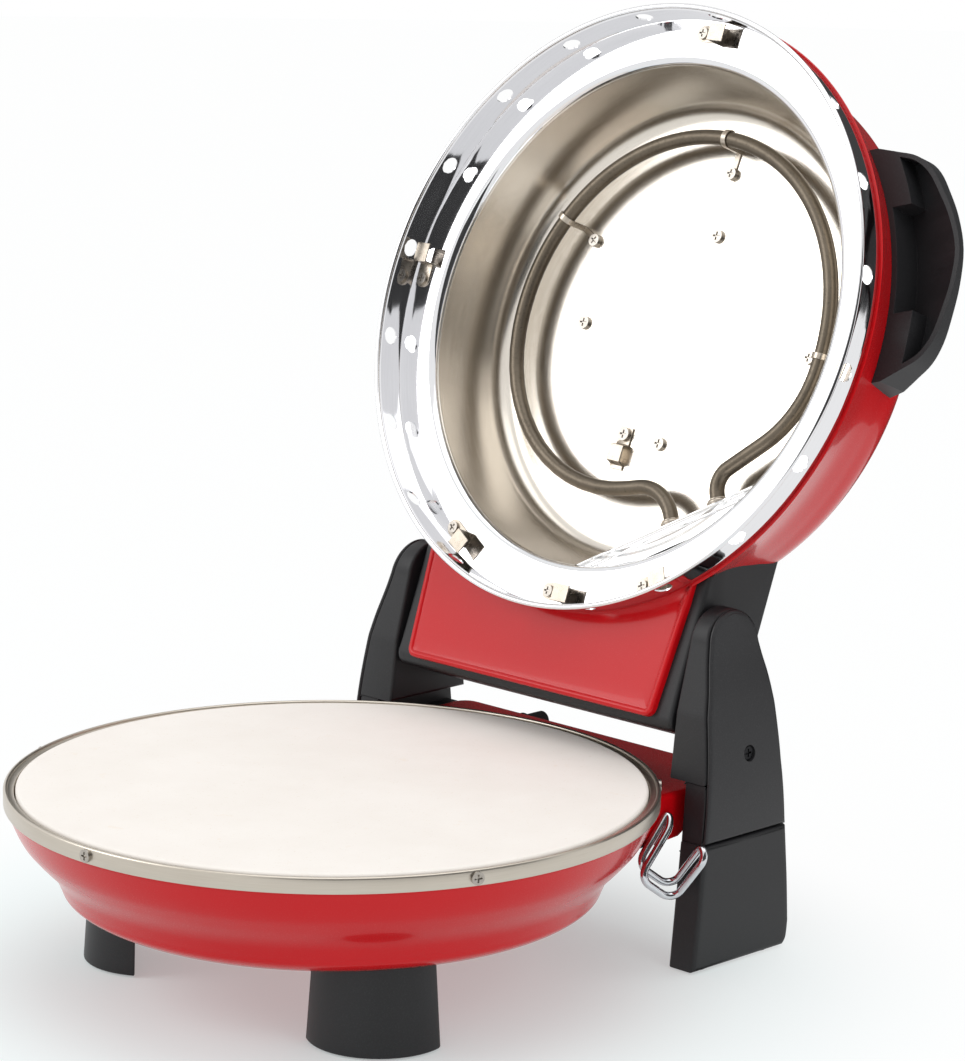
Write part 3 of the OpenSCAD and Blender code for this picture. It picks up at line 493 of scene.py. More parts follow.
red_enamel = enamel("red_enamel_bowl", 0.006)
red_panel = enamel("red_enamel_peel", 0.035)
rim_steel = sheet_metal("rim_steel", (212, 205, 194), (180, 171, 157), 0.2, 0.16, lines=0.006)
rim_land = sheet_metal("rim_land_steel", (140, 122, 106), (98, 84, 72), 0.3, 0.16, lines=0.006)
bright_chrome = sheet_metal("bright_chrome", (238, 238, 240), (222, 222, 224), 0.035, 0.03, lid=True, lift=0.2)
wall_nickel = sheet_metal("wall_nickel", (232, 226, 217), (206, 198, 186), 0.13, 0.12, lid=True, lines=0.01, lift=1.0)
plate_mirror = sheet_metal("plate_mirror", (254, 254, 254), (250, 250, 249), 0.015, 0.01, lid=True)
clip_steel = plain_metal("clip_steel", (206, 196, 182), (160, 150, 138), 0.22)
cover_bright = rolled_cover()
screw_bright = plain_metal("screw_bright", (198, 192, 184), (148, 142, 134), 0.22)
screw_black = plain_metal("screw_black", (52, 52, 54), (24, 24, 26), 0.34)
wire_chrome = plain_metal("wire_chrome", (226, 228, 232), (196, 198, 202), 0.08, 0.003)
grey_sheet = plain_metal("grey_sheet", (150, 148, 146), (118, 116, 114), 0.34, 0.02)
black_plastic = moulded("black_plastic", (23, 23, 25), (40, 40, 42), 0.38, 0.02, 0.4)
handle_plastic = moulded("handle_plastic", (30, 30, 32), (46, 46, 48), 0.42, 0.015, 0.4)
cover_plastic = moulded("black_plastic_cover", (30, 30, 32), (50, 50, 52), 0.4, 0.03, 0.45)
black_rubber = moulded("black_rubber", (22, 22, 23), (34, 34, 35), 0.72, 0.02, 0.25)
black_sheet = moulded("black_sheet", (34, 34, 36), (50, 50, 52), 0.5, 0.012)
pale_plastic = moulded("pale_plastic", (226, 222, 208), (238, 234, 224), 0.42, 0.01)
white_ceramic = moulded("white_ceramic", (232, 228, 218), (244, 242, 236), 0.34, 0.02)
stone_finish = stoneware()
tube_finish = heated_tube()


# The base

PAN_LINE = [[RIM_R - 1, BAND_Z], [RIM_R - 8, BAND_Z - 15.3], [RIM_R - 13.6, BAND_Z - 22.1], [RIM_R - 23.6, BAND_Z - 33],
            [RIM_R - 27, BAND_Z - 39.9], [RIM_R - 28.7, BAND_Z - 43.7], [RIM_R - 35, BAND_Z - 47.9],
            [RIM_R - 42.7, BAND_Z - 50.3], [RIM_R - 65.8, BAND_Z - 55], [RIM_R - 77.3, BAND_Z - 56.4]]
pan_line = smooth(PAN_LINE, 7)


def pan_height(r):
    """Height of the pan's outside at a radius."""
    return np.interp(r, pan_line[::-1, 0], pan_line[::-1, 1])


def bowl():
    """Pan: its outer line from the band to the floor, across the floor to the axis, and back up inside its sheet."""
    thickness, lip, floor_z = 1.5, BAND_Z + 4.8, BAND_Z - 56.5
    outer = joined([[RIM_R - 1, lip]], pan_line, [[60, floor_z], [20, floor_z], [0, floor_z]])
    inner = joined([[0, BAND_Z - 55], [60, BAND_Z - 55]], beside(pan_line, -thickness)[::-1])
    return revolve(joined(outer, inner, [[RIM_R - 1 - thickness, lip], [RIM_R - 1, lip]]))


def tongue():
    """Pan's rear extension, a sheet box: a round-cornered line in plan goes round its back, and at each point a section
    runs from the lower edge up the side, over a rounded edge and in to the bowl's wall, and back inside the sheet."""
    half, corner, wall_r, r, top, thickness = 103, 10, 157.5, 3.0, 89, 1.5
    back = [arc(side * (half - corner), 185, corner, a, a + 90, 12) for side, a in ((1, 0), (-1, 90))]
    plan = evenly(joined([[half, 116]], *back, [[-half, 116]]), 120)
    d = unit(np.gradient(plan, axis=0))
    out = points(d[:, 1], -d[:, 0])
    share = np.linspace(-1, 1, len(plan))
    edge = points(-share * half, np.sqrt(wall_r ** 2 - (share * half) ** 2))
    low = np.interp(plan[:, 1], [100, 112, 141, 150, 200], [64.5, 64.5, 66.6, 75, 75])
    rows = [(0, low, 0), (0, low + (top - r - low) * 0.5, 0), (0, top - r, 0)]
    rows += [(-r * (1 - cos(a)), top - r + r * sin(a), 0) for a in np.linspace(15, 90, 6)]
    rows += [(-r, top, k) for k in (0.1, 0.35, 0.7, 1)]
    rows += [(-r, top - thickness, k) for k in (1, 0.5, 0.1)]
    rows += [(-thickness, top - r, 0), (-thickness, low + 1, 0), (-thickness, low, 0), (0, low, 0)]
    grid = [points(*((plan + out * w) * (1 - k) + edge * k).T, h) for w, h, k in rows]
    return np.stack(grid)


piece("pan_and_tongue", "base", "red_enamel", red_enamel, [bowl(), tongue()], ["base_pan"])

SEAT_Z = 87.3

# Rim ring: a band with a rounded upper edge, then the land round the stone, the seat under it, and back up inside
band = joined([[RIM_R - 1, BAND_Z - 0.2], [RIM_R - 0.2, BAND_Z - 0.2], [RIM_R, BAND_Z + 0.2], [RIM_R, STONE_TOP - 3]],
              arc(RIM_R - 1.1, STONE_TOP - 1.1, 1.1, 0, 180, 10))
land = joined([[RIM_R - 2.2, STONE_TOP - 1.2], [RIM_R - 3, STONE_TOP - 1.6], [STONE_R + 0.9, STONE_TOP - 1.6],
               [STONE_R + 0.7, STONE_TOP - 1.9], [STONE_R + 0.7, SEAT_Z + 0.1], [STONE_R + 0.5, SEAT_Z],
               [STONE_R - 8, SEAT_Z], [STONE_R - 8, SEAT_Z - 1], [STONE_R + 1.7, SEAT_Z - 1],
               [STONE_R + 1.7, STONE_TOP - 2.2], [RIM_R - 1, STONE_TOP - 2.2], [RIM_R - 1, BAND_Z - 0.2]])
piece("rim_band", "base", "rim_steel", [rim_steel, rim_land],
      [revolve(band, 240), revolve(joined(band[-1:], land), 240)], ["rim_ring"])

# Stone: its foot 0.2 above the seat, a rounded lower edge and a rounder upper one
foot_z = SEAT_Z + 0.2
stone_side = joined([[r, foot_z] for r in (0, 60, 120, STONE_R - 2)], arc(STONE_R - 2, foot_z + 2, 2, -90, 0, 6),
                    [[STONE_R, STONE_TOP - 1.7]], arc(STONE_R - 1.6, STONE_TOP - 1.6, 1.6, 0, 90, 8),
                    [[r, STONE_TOP] for r in (150, 100, 50, 0)])
piece("baking_stone", "stone", "cream_stone", stone_finish, [revolve(stone_side, 180)], ["pizza_stone"])


def foot_at(p):
    """Place of a front foot's points: turned about its own upright, moved out, then turned about the pan's axis."""
    return at(FOOT_AT, at(FOOT_TURN, p) + [FOOT_OUT, 0, 0])


def front_foot():
    """Front foot: a D outline whose round side is narrower by 3 at 44 up, carried up to the pan's outside above each
    point. Its flat side lies 9.2 from the round's middle, with one sharp and one round corner."""
    flat, round_end, narrower, rise = 9.2, 62.2, 3, 44
    outline = joined([[flat, -10], [flat, -32.6]], arc(flat + 0.6, -32.7, 0.6, 190, 270, 4),
                     arc(0, 0, FOOT_R, -74, round_end, 60)[1:], arc(flat + 4.7, 26.4, 4.7, round_end, 180, 10))
    outline = evenly(ring(outline), 170)[:-1]
    rows = []
    for t, shrink in [(0, 0.5), (0.008, 0.15), (0.02, 0)] + [(k, 0) for k in np.linspace(0.12, 1, 10)]:
        z = 1 + t * 43.0
        for _ in range(3):
            taper = 1 - narrower * (z - 1) / rise / FOOT_R
            d = inset(outline * np.broadcast_to(taper, len(outline))[:, None], shrink)
            place = foot_at(points(d[:, 0], d[:, 1], 0))
            top = np.minimum(pan_height(np.hypot(place[:, 0], place[:, 1])) + 0.4, 45.5)
            z = 1 + t * (top - 1)
        rows.append(ring(points(place[:, 0], place[:, 1], z)))
    centre = foot_at(np.array([21.0, 0, 0]))
    cap = [centre * [1, 1, 0] + [0, 0, h] + (row - centre) * [k, k, 0] for row, h, k in
           ((rows[0], 1.0, 0), (rows[0], 1.0, 0.6), (rows[-1], 36.0, 0.6), (rows[-1], 36.0, 0))]
    return np.stack([cap[0], cap[1], *rows, cap[2], cap[3]])


foot = front_foot()
piece("front_foot_right_shell", "base", "black_plastic", black_plastic, [foot], ["front_foot_right"])
piece("front_foot_left_shell", "base", "black_plastic", black_plastic, [mirrored(foot)], ["front_foot_left"])

# A rear leg: its outside as points of (distance from the middle plane, height), and its round top
leg_out = smooth([[123, 1], [126, 45], [127, 94], [121, 138], [116, 158], [112, 182]], 8)
ARCH_Y, ARCH_Z, ARCH_R = 166.0, 162.0, 18.0
LEG_TOP = ARCH_Z + ARCH_R


def outer_x(z):
    """Distance of the leg's outside from the middle plane at a height."""
    return np.interp(z, leg_out[:, 1], leg_out[:, 0])


def leg_edges(low, high, n):
    """Front and rear edge of the leg between two heights, n matched points. The front leans back a little, both run
    into the round top, and the rear leans out to the sole. Near the top the steps in height shrink as a square."""
    front = joined([[131, 1], [133, 66], [135, 94], [139, 130]], arc(ARCH_Y, ARCH_Z, ARCH_R, 172, 90, 24))
    rear = joined([[200, 1], [201.6, 2.5], [202.7, 5], [203, 9], [203, 14], [199, 41], [194.5, 70], [191, 101],
                   [189.5, 131], [187, 148]], arc(ARCH_Y, ARCH_Z, ARCH_R, 0, 90, 24))
    t = np.linspace(0, 1, n)
    z = low + (high - low) * (1 - (1 - t) ** 2 if high == LEG_TOP else t)
    return [points(np.interp(z, edge[:, 1], edge[:, 0]), z) for edge in (front, rear)]


def leg_part(low, high, x_in, x_out, r, w=0.0, n=72, crown=0.0):
    """Closed body of a leg between two heights. Its side outline, moved in by w, is carried across from x_in to x_out
    with both edges rounded by r: inset r(1 - sin a) at depth r(1 - cos a). Each face is ruled to the upright middle
    line and may swell outwards by crown (1 - (1 - s)^2)."""
    front, rear = leg_edges(low, high, n)
    k = np.linspace(0, 1, 9)[1:-1, None]
    outline = joined(front, front[-1] + (rear[-1] - front[-1]) * k, rear[::-1], rear[0] + (front[0] - rear[0]) * k)
    if high == LEG_TOP:
        outline = joined(front, rear[-2::-1], rear[0] + (front[0] - rear[0]) * k)
    base_z = ring(outline)[:, 1]
    middle = np.interp(base_z, [low, high], [(front[0, 0] + rear[0, 0]) / 2, (front[-1, 0] + rear[-1, 0]) / 2])
    outline = inset(outline, w)
    a = np.linspace(0, 90, 6)
    rows, caps = [], []
    for x_of, sign, angles in ((x_in, 1, a), (x_out, -1, a[::-1])):
        for angle in angles:
            line = ring(inset(outline, r * (1 - sin(angle))))
            rows.append(points(x_of(line[:, 1]) + sign * r * (1 - cos(angle)), line[:, 0], line[:, 1]))
    for row, x_of, sign in ((rows[0], x_in, -1), (rows[-1], x_out, 1)):
        made = []
        for s in (0.06, 0.15, 0.3, 0.5, 0.75, 1.0):
            z = row[:, 2] + (np.clip(base_z, low + w + r, high - w - r) - row[:, 2]) * s
            made.append(points(x_of(z) + sign * crown * (1 - (1 - s) ** 2), row[:, 1] + (middle - row[:, 1]) * s, z))
        caps.append(made)
    return np.stack([*caps[0][::-1], *rows, *caps[1]])


def drilled(thing, start, way, r, depth, sides=48):
    """Cuts a round blind hole into a piece with a closed cylinder, and keeps the result as the piece's own mesh."""
    way = Vector(way).normalized()
    bm = bmesh.new()
    turn = Vector((0, 0, 1)).rotation_difference(way).to_matrix().to_4x4()
    place = Matrix.Translation((Vector(start) + way * depth / 2) * MM) @ turn
    bmesh.ops.create_cone(bm, cap_ends=True, segments=sides, radius1=r * MM, radius2=r * MM, depth=depth * MM,
                          matrix=place)
    mesh = bpy.data.meshes.new("bit")
    bm.to_mesh(mesh)
    bm.free()
    bit = bpy.data.objects.new("bit", mesh)
    bpy.context.scene.collection.objects.link(bit)
    cutting = thing.modifiers.new("hole", "BOOLEAN")
    cutting.operation, cutting.solver, cutting.object = "DIFFERENCE", "EXACT", bit
    bpy.context.view_layer.update()
    cut = bpy.data.meshes.new_from_object(thing.evaluated_get(bpy.context.evaluated_depsgraph_get()))
    thing.modifiers.clear()
    cut.name = thing.data.name
    thing.data = cut
    cut.set_sharp_from_angle(angle=math.radians(38))
    bpy.data.objects.remove(bit)


def level(x):
    """A flat inside face at a distance from the middle plane."""
    return lambda z: x + 0 * z


def inner_low(z):
    """Distance of the foot part's inside from the middle plane at a height."""
    return 106 + 3.5 * z / 60


# A rear leg: the foot below the seam, the neck beside the pan, and the upright that the cover lies on
leg = [leg_part(1, SEAM_Z - 0.2, inner_low, outer_x, 2.2),
       leg_part(60, 97.2, level(110.2), lambda z: outer_x(z) - 3, 1.0, 0.8),
       leg_part(97, LEG_TOP, level(100), lambda z: outer_x(z) - 2.7, 1.6)]
block = slab(corners([[102.8, 150], [113, 150], [113, 190], [102.8, 190]], 1), rounded_levels(70, 88, 1))
cover = leg_part(SEAM_Z + 0.3, LEG_TOP, lambda z: outer_x(z) - 2.6, outer_x, 1.7, 0.35, crown=0.5)
for side, sign, flip in (("right", 1, lambda p: p), ("left", -1, mirrored)):
    piece(f"rear_leg_{side}_shell", "base", "black_plastic", black_plastic, [flip(g) for g in (*leg, block)],
          [f"rear_leg_{side}"])
    plate = piece(f"leg_cover_{side}_plate", "base", "black_plastic", cover_plastic, [flip(cover)],
                  [f"leg_cover_{side}"])
    drilled(plate, (sign * 140, 165.8, 109), (-sign, 0, 0), 4.2, 140 - 124)


def hook():
    """Cord hook: one wire of 4 mm along a bent line, round a half turn and back beside itself, closed at the root.
    Each bend is an arc that starts at bend tan(turn / 2) before its corner."""
    corner = np.array([[105, 127.2, 78.5], [105.3, 107.4, 58.7], [110.9, 126.4, 44.1], [125.8, 129.6, 65.6]])
    u, v = unit(corner[1:3] - corner[0:2]), unit(corner[2:4] - corner[1:3])
    turn = np.arccos((u * v).sum(1))
    side = unit(v - u * np.cos(turn)[:, None])
    bend, wire_r = 6.0, 2.0
    start = corner[1:3] - bend * np.tan(turn / 2)[:, None] * u
    s = np.linspace(0, 1, 10)[None, :] * turn[:, None]
    arcs = start[:, None] + bend * (side[:, None] * (1 - np.cos(s))[..., None] + u[:, None] * np.sin(s)[..., None])
    line = evenly(joined(corner[:1], arcs[0], arcs[1], corner[3:]), 64)
    shift = np.array([4.2, -2.8, -5.6])
    way = unit(np.gradient(line, axis=0))
    a = np.linspace(0, 180, 12)[1:-1, None]
    r = np.linalg.norm(shift) / 2
    far = line[-1] + shift * (1 - cos(a)) / 2 + way[-1] * r * sin(a)
    near = line[0] + shift * (1 + cos(a)) / 2 - way[0] * r * sin(a)
    flat = joined(way, way[-1:].repeat(len(a), 0), way[::-1], way[:1].repeat(len(a), 0))
    return tube(joined(line, far, (line + shift)[::-1], near), wire_r, np.cross(flat, shift), 18, closed=True)


wire = hook()
piece("cord_hook_right_wire", "base", "bright_wire", wire_chrome, [wire], ["cord_hook_right"])
piece("cord_hook_left_wire", "base", "bright_wire", wire_chrome, [mirrored(wire)], ["cord_hook_left"])


# The lid

dome_line = smooth([[DOME_R, RING_H], [DOME_R - 7.5, RING_H + 18], [DOME_R - 12, RING_H + 36],
                    [DOME_R - 16, RING_H + 52], [DOME_R - 25, DOME_H - 11], [DOME_R - 45, DOME_H - 5],
                    [DOME_R - 100, DOME_H - 1]], 8)
DOME_T = 1.2


def dome_radius(depth):
    """Radius of the dome's outside at a depth."""
    return np.interp(depth, dome_line[:, 1], dome_line[:, 0])


def dome():
    """Lid shell: the dome's line from its folded edge to its top, and back inside its sheet to the flange."""
    fold = [[DOME_R - 20, RING_H], [DOME_R - 2, RING_H], [DOME_R - 0.6, RING_H + 0.1], [DOME_R - 0.1, RING_H + 0.6]]
    top = [[30, DOME_H - 0.2], [0, DOME_H], [0, DOME_H - DOME_T], [30, DOME_H - 0.2 - DOME_T]]
    flange = [[DOME_R - 1.8, RING_H + DOME_T], [DOME_R - 20, RING_H + DOME_T], [DOME_R - 20, RING_H]]
    return revolve(joined(fold, dome_line[1:], top, beside(dome_line, DOME_T)[:0:-1], flange), 200)


def rear_panel():
    """Enamelled panel behind the ring: ruled between the ring's circle and a round-cornered outline, with a raised
    edge line 1 high and 3 wide, then folded down 3 at its border, and back under the sheet. Its loop comes home along
    the ring's circle. Each row is (share of the way in to the circle, way out, depth)."""
    half, wall_r, under_ring, hidden = 91, SKIRT_R - 1, 162, RING_H + 0.05
    sides = [[-half, 129], [-half, 140], [-half + 4, 200], [half - 4, 200], [half, 140], [half, 129]]
    outline = evenly(corners(sides, [0.01, 30, 5, 5, 30, 0.01], 8), 160)
    d = unit(np.gradient(outline, axis=0))
    out = points(-d[:, 1], d[:, 0])
    end = np.degrees(np.arccos(half / wall_r))
    a = np.linspace(180 - end, end, len(outline))
    inner = points(wall_r * cos(a), wall_r * sin(a))
    back, home = len(inner), inner[-2:0:-1]
    outline, out, inner = joined(outline, home), joined(out, home * 0), joined(inner, home)
    rows = [(1, 0, 18), (0.8, 0, 18), (0.5, 0, 18), (0.2, -4.4, 18), (0, -4.0, 18), (0, -3.4, 17.9), (0, -2.9, 17.35),
            (0, -2.3, 17.05), (0, -1.5, 17.0), (0, -0.7, 17.2), (0, -0.15, 17.8), (0, 0, 18.6), (0, 0, 21),
            (0, -DOME_T, 21), (0, -DOME_T, 18 + DOME_T), (1, 0, 18 + DOME_T), (1, 0, 18)]
    grid = np.stack([points(*((outline + out * w) * (1 - k) + inner * k).T, h) for k, w, h in rows])
    r = np.hypot(grid[..., 0], grid[..., 1])
    grid[..., 2] = np.where(r < under_ring, np.maximum(grid[..., 2], hidden), grid[..., 2])
    grid[..., :2] *= (np.maximum(r, wall_r) / r)[..., None]
    grid[:, back:, 2] = np.clip(grid[:, back:, 2], hidden, RING_H + DOME_T)
    return grid


piece("lid_shell", "lid", "red_enamel", [red_enamel, red_panel], [dome(), rear_panel()], ["lid_dome"], lid=True)


def vent_ring():
    """Chrome ring: 20 equal sectors of wall, each a ruled patch from a round hole to the sector's border, outside and
    inside, with the hole's short wall between; above them the rolled bead, below them the flat shelf and its lip."""
    first, count, hole_d, r_hole, thickness = -12.8, 20, 8.3, 4.75, 0.8
    half, up, down = 180 / count, 2.9, 14.0
    top = points(np.linspace(-half, half, 13), down)
    right = points(half, np.linspace(down, up, 5)[1:-1])
    bottom = points(np.linspace(half, -half, 13), up)
    left = points(-half, np.linspace(up, down, 5)[1:-1])
    border = ring(joined(top, right, bottom, left))
    wide = math.radians(1) * SKIRT_R
    way = unit(points(border[:, 0] * wide, border[:, 1] - hole_d))
    hole = points(way[:, 0] * r_hole / wide, hole_d + way[:, 1] * r_hole)
    patch = np.stack([hole * (1 - k) + border * k for k in (0, 0.06, 0.2, 0.5, 1)])
    middle = first + 2 * half * np.arange(count)[:, None, None]
    inner_r, lip = SKIRT_R - thickness, (RIM_R - 22.5, RING_H + 4)

    def wall(r):
        return points(r * cos(middle + patch[..., 0]), r * sin(middle + patch[..., 0]), patch[None, ..., 1])

    outside, inside = wall(SKIRT_R), wall(inner_r)
    rims = np.stack([outside[:, 0], inside[:, 0]], 1)
    bead = joined(arc(RIM_R - 1.4, 1.4, 1.4, 160, 430, 18), [[SKIRT_R + 0.3, 2.6], [SKIRT_R, up]])
    over = joined([[inner_r, up], [inner_r, 2.2]], bead[:1])
    shelf = joined([[SKIRT_R, down], [SKIRT_R, RING_H - 0.7], [SKIRT_R - 0.7, RING_H], [152, RING_H], [lip[0], RING_H]],
                   arc(*lip, 4, 270, 195, 8), arc(*lip, 4 + thickness, 195, 270, 8),
                   [[152, RING_H - thickness], [SKIRT_R - 1.6, RING_H - thickness], [SKIRT_R - 1.0, RING_H - 1.0],
                    [inner_r, RING_H - 1.6], [inner_r, down]])
    turned = [revolve(line, 240, first - half) for line in (joined(over, bead), shelf)]
    return [*outside, *inside, *rims, *turned]


piece("vent_ring_chrome", "lid", "bright_chrome", bright_chrome, vent_ring(), ["vent_ring"], lid=True, sharp=50)

# Reflector: a flange at its mouth, a wall that leans in, a round foot of the wall, and a flat plate
MOUTH_D, MIRROR_T = RING_H + 3.4, 0.8
mirror_foot = arc(MIRROR_R - 20.5, PLATE_D - 12, 12, 10, 90, 14)
mirror_line = joined(smooth(joined([[MIRROR_R, MOUTH_D], [MIRROR_R - 1.6, RING_H + 10], [MIRROR_R - 7, PLATE_D - 16]],
                                   mirror_foot[:1]), 8), mirror_foot[1:])


def mirror_radius(depth):
    """Radius of the reflector's wall at a depth."""
    return np.interp(depth, mirror_line[:, 1], mirror_line[:, 0])


flange = joined([[DOME_R - 5.6, MOUTH_D], [MIRROR_R + 1, MOUTH_D]],
                arc(MIRROR_R + 1, MOUTH_D + 1.5, 1.5, -90, -170, 4))
wall = joined(flange, mirror_line[1:])
plate = joined(mirror_line[-1:], [[r, PLATE_D] for r in (105, 80, 50, 20, 0)])
behind = joined([[0, PLATE_D], [0, PLATE_D + MIRROR_T], [50, PLATE_D + MIRROR_T]], beside(wall, -MIRROR_T)[::-1],
                wall[:1])
piece("upper_reflector_bowl", "lid", "reflector_sheet", [wall_nickel, plate_mirror, wall_nickel],
      [revolve(wall, 200), revolve(plate, 200), revolve(behind, 200)], ["upper_reflector"], lid=True)


def bent(start, heading, steps):
    """Centre line of a bent tube from a point and heading: each step is a straight length, a bend radius and a turn."""
    here, line = np.array(start, float), [np.array([start], float)]
    for straight, radius, turn in steps:
        way = np.array([cos(heading), sin(heading)])
        here = here + straight * way
        line.append(here[None])
        if turn:
            centre = here + radius * np.sign(turn) * np.array([-way[1], way[0]])
            first = math.degrees(math.atan2(*(here - centre)[::-1]))
            line.append(arc(*centre, radius, first, first + turn, 14)[1:])
            here = line[-1][-1]
        heading += turn
    return joined(*line), heading


near_end, _ = bent(LOOP_R * np.array([cos(6), sin(6)]), 96, [[0, 60, 43.5], [24.4, 11.4, -79.5], [3.1, 0, 0]])
far_end, _ = bent(LOOP_R * np.array([cos(172), sin(172)]), 82, [[0, 86.2, -95.3], [7.8, 24.3, 73.3], [2.8, 0, 0]])
chord_way = np.array([cos(CHORD), sin(CHORD)])


def heating_tube():
    """Upper element: a tube of 8 mm in one plane, from one cold end through its bend, round the loop and out again."""
    cold = 14
    line = joined((near_end[-1] + chord_way * cold)[None], near_end[::-1], arc(0, 0, LOOP_R, 6, -188, 90)[1:-1],
                  far_end, (far_end[-1] + chord_way * cold)[None])
    line = line[np.concatenate([[True], np.linalg.norm(np.diff(line, axis=0), axis=1) > 0.05])]
    line = evenly(line, 330)
    return tube(points(*line.T, TUBE_D), TUBE_R, [0, 0, 1.0], 22)


piece("upper_element_tube", "lid", "heating_tube", tube_finish, [heating_tube()], ["upper_element"], lid=True)


def collar(tip):
    """Collar where the tube goes through the wiring cover: a sleeve with two beads, turned about the tube's end."""
    r, swell = 5.5, 0.7 * sin(np.linspace(0, 180, 6))
    line = joined([[0, TUBE_R], [0, r - 0.3], [0.3, r]], points(np.linspace(0.6, 3.2, 6), r + swell),
                  points(np.linspace(3.6, 6.4, 6), r + swell), [[8.2, r], [8.5, r - 0.3], [8.5, TUBE_R], [0, TUBE_R]])
    t = np.linspace(0, 360, 33)[:, None]
    side = np.array([-chord_way[1], chord_way[0], 0])
    return (np.array([*tip, TUBE_D]) + line[None, :, :1] * np.array([*chord_way, 0])
            + line[None, :, 1:] * (cos(t)[..., None] * side + sin(t)[..., None] * np.array([0, 0, 1.0])))


piece("tube_collars", "lid", "white_ceramic", clip_steel, [collar(near_end[-1]), collar(far_end[-1])],
      ["element_ferrules"], lid=True)


def wiring_cover():
    """Sheet across a chord of the reflector: a line of (distance from the axis, depth) thickened and carried sideways
    to the reflector's wall, half width sqrt(R(depth)^2 - distance^2). Its mouth has two rolled beads."""
    face, foot, bead, thickness = 20.6, PLATE_D - 0.4, 0.9, 1
    front = joined([[133.0, face], [129.5, face], [126.6, face]], arc(125.2, face, bead, 0, -180, 7),
                   [[123.8, face + 0.3], [122.6, face + 0.3]], arc(121.2, face, bead, 0, -180, 7),
                   [[120.1, 21.2], [120, 22.4], [106.5, foot]])
    back = [[106.5 + thickness, foot], [121, 23.2], [122, face + thickness], [129.5, face + thickness],
            [133.0, face + thickness], [133.0, face]]
    line = joined(front, back)
    r = mirror_radius(np.maximum(line[:, 1], RING_H + 4)) - 0.15
    half = np.sqrt(np.maximum(r ** 2 - line[:, 0] ** 2, 4))
    s = np.linspace(-1, 1, 41)[:, None]
    s = np.concatenate([s[:1], s, s[-1:]])
    grid = points(line[None, :, 0], half[None] * s, line[None, :, 1])
    grid[0] = grid[0] * 0 + grid[1, :-1].mean(0)
    grid[-1] = grid[-1] * 0 + grid[-2, :-1].mean(0)
    return at(CHORD, grid)


piece("wiring_cover_plate", "lid", "reflector_sheet", cover_bright, [wiring_cover()], ["wiring_cover"], lid=True)


def housing():
    """Hinge housing: for each place across, a side line that starts on the dome's outside, runs back along the visible
    face, round the rear edge and up to the dome again. The two ends draw in with rounded edges."""
    half, r, top, bottom, steps = 98, 2.5, 21, 71, 73
    a = np.linspace(0, 90, 6)
    in_x, in_z = r * (1 - cos(a)), r * (1 - sin(a))
    flat = np.linspace(r - half, half - r, steps + 2)[1:-1]
    x = np.concatenate([in_x - half, flat, half - in_x[::-1]])[:, None]
    draw = np.concatenate([in_z, np.zeros(steps), in_z[::-1]])[:, None]

    def on_dome(depth, gap):
        return np.sqrt(np.maximum((dome_radius(depth) - gap) ** 2 - x ** 2, 0))

    front_y, back_y = on_dome(top, 0.3), on_dome(bottom, 0.3)
    rear = joined(arc(198, top + 6, 6, -90, 0, 8), arc(196, bottom - 8, 8, 0, 90, 10))
    centre = np.array([175.0, 46.0])
    rear = rear[None] + (centre - rear)[None] * (draw / 40.0)[..., None]
    k = np.linspace(0, 1, 14)[None, :]
    low = points(front_y + (rear[:, :1, 0] - front_y) * k, (top + draw) + 0 * k)
    high = points(rear[:, -1:, 0] + (back_y - rear[:, -1:, 0]) * k, (bottom - draw) + 0 * k)
    depth = np.linspace(bottom, top, 10)[None, 1:-1]
    inner = points(on_dome(depth, 0.6), depth + 0 * x)
    line = np.concatenate([low[:, :-1], rear, high[:, 1:], inner, low[:, :1]], 1)
    grid = points(x + 0 * line[..., 0], line[..., 0], line[..., 1])
    ends = [np.broadcast_to(g[:, :-1].mean(1, keepdims=True), g.shape) for g in (grid[:1], grid[-1:])]
    return np.concatenate([ends[0], grid, ends[1]])


piece("hinge_housing_shell", "lid", "black_plastic", black_plastic, [housing()], ["hinge_housing"], lid=True)


# Small parts that keep their CAD shapes, with eased edges

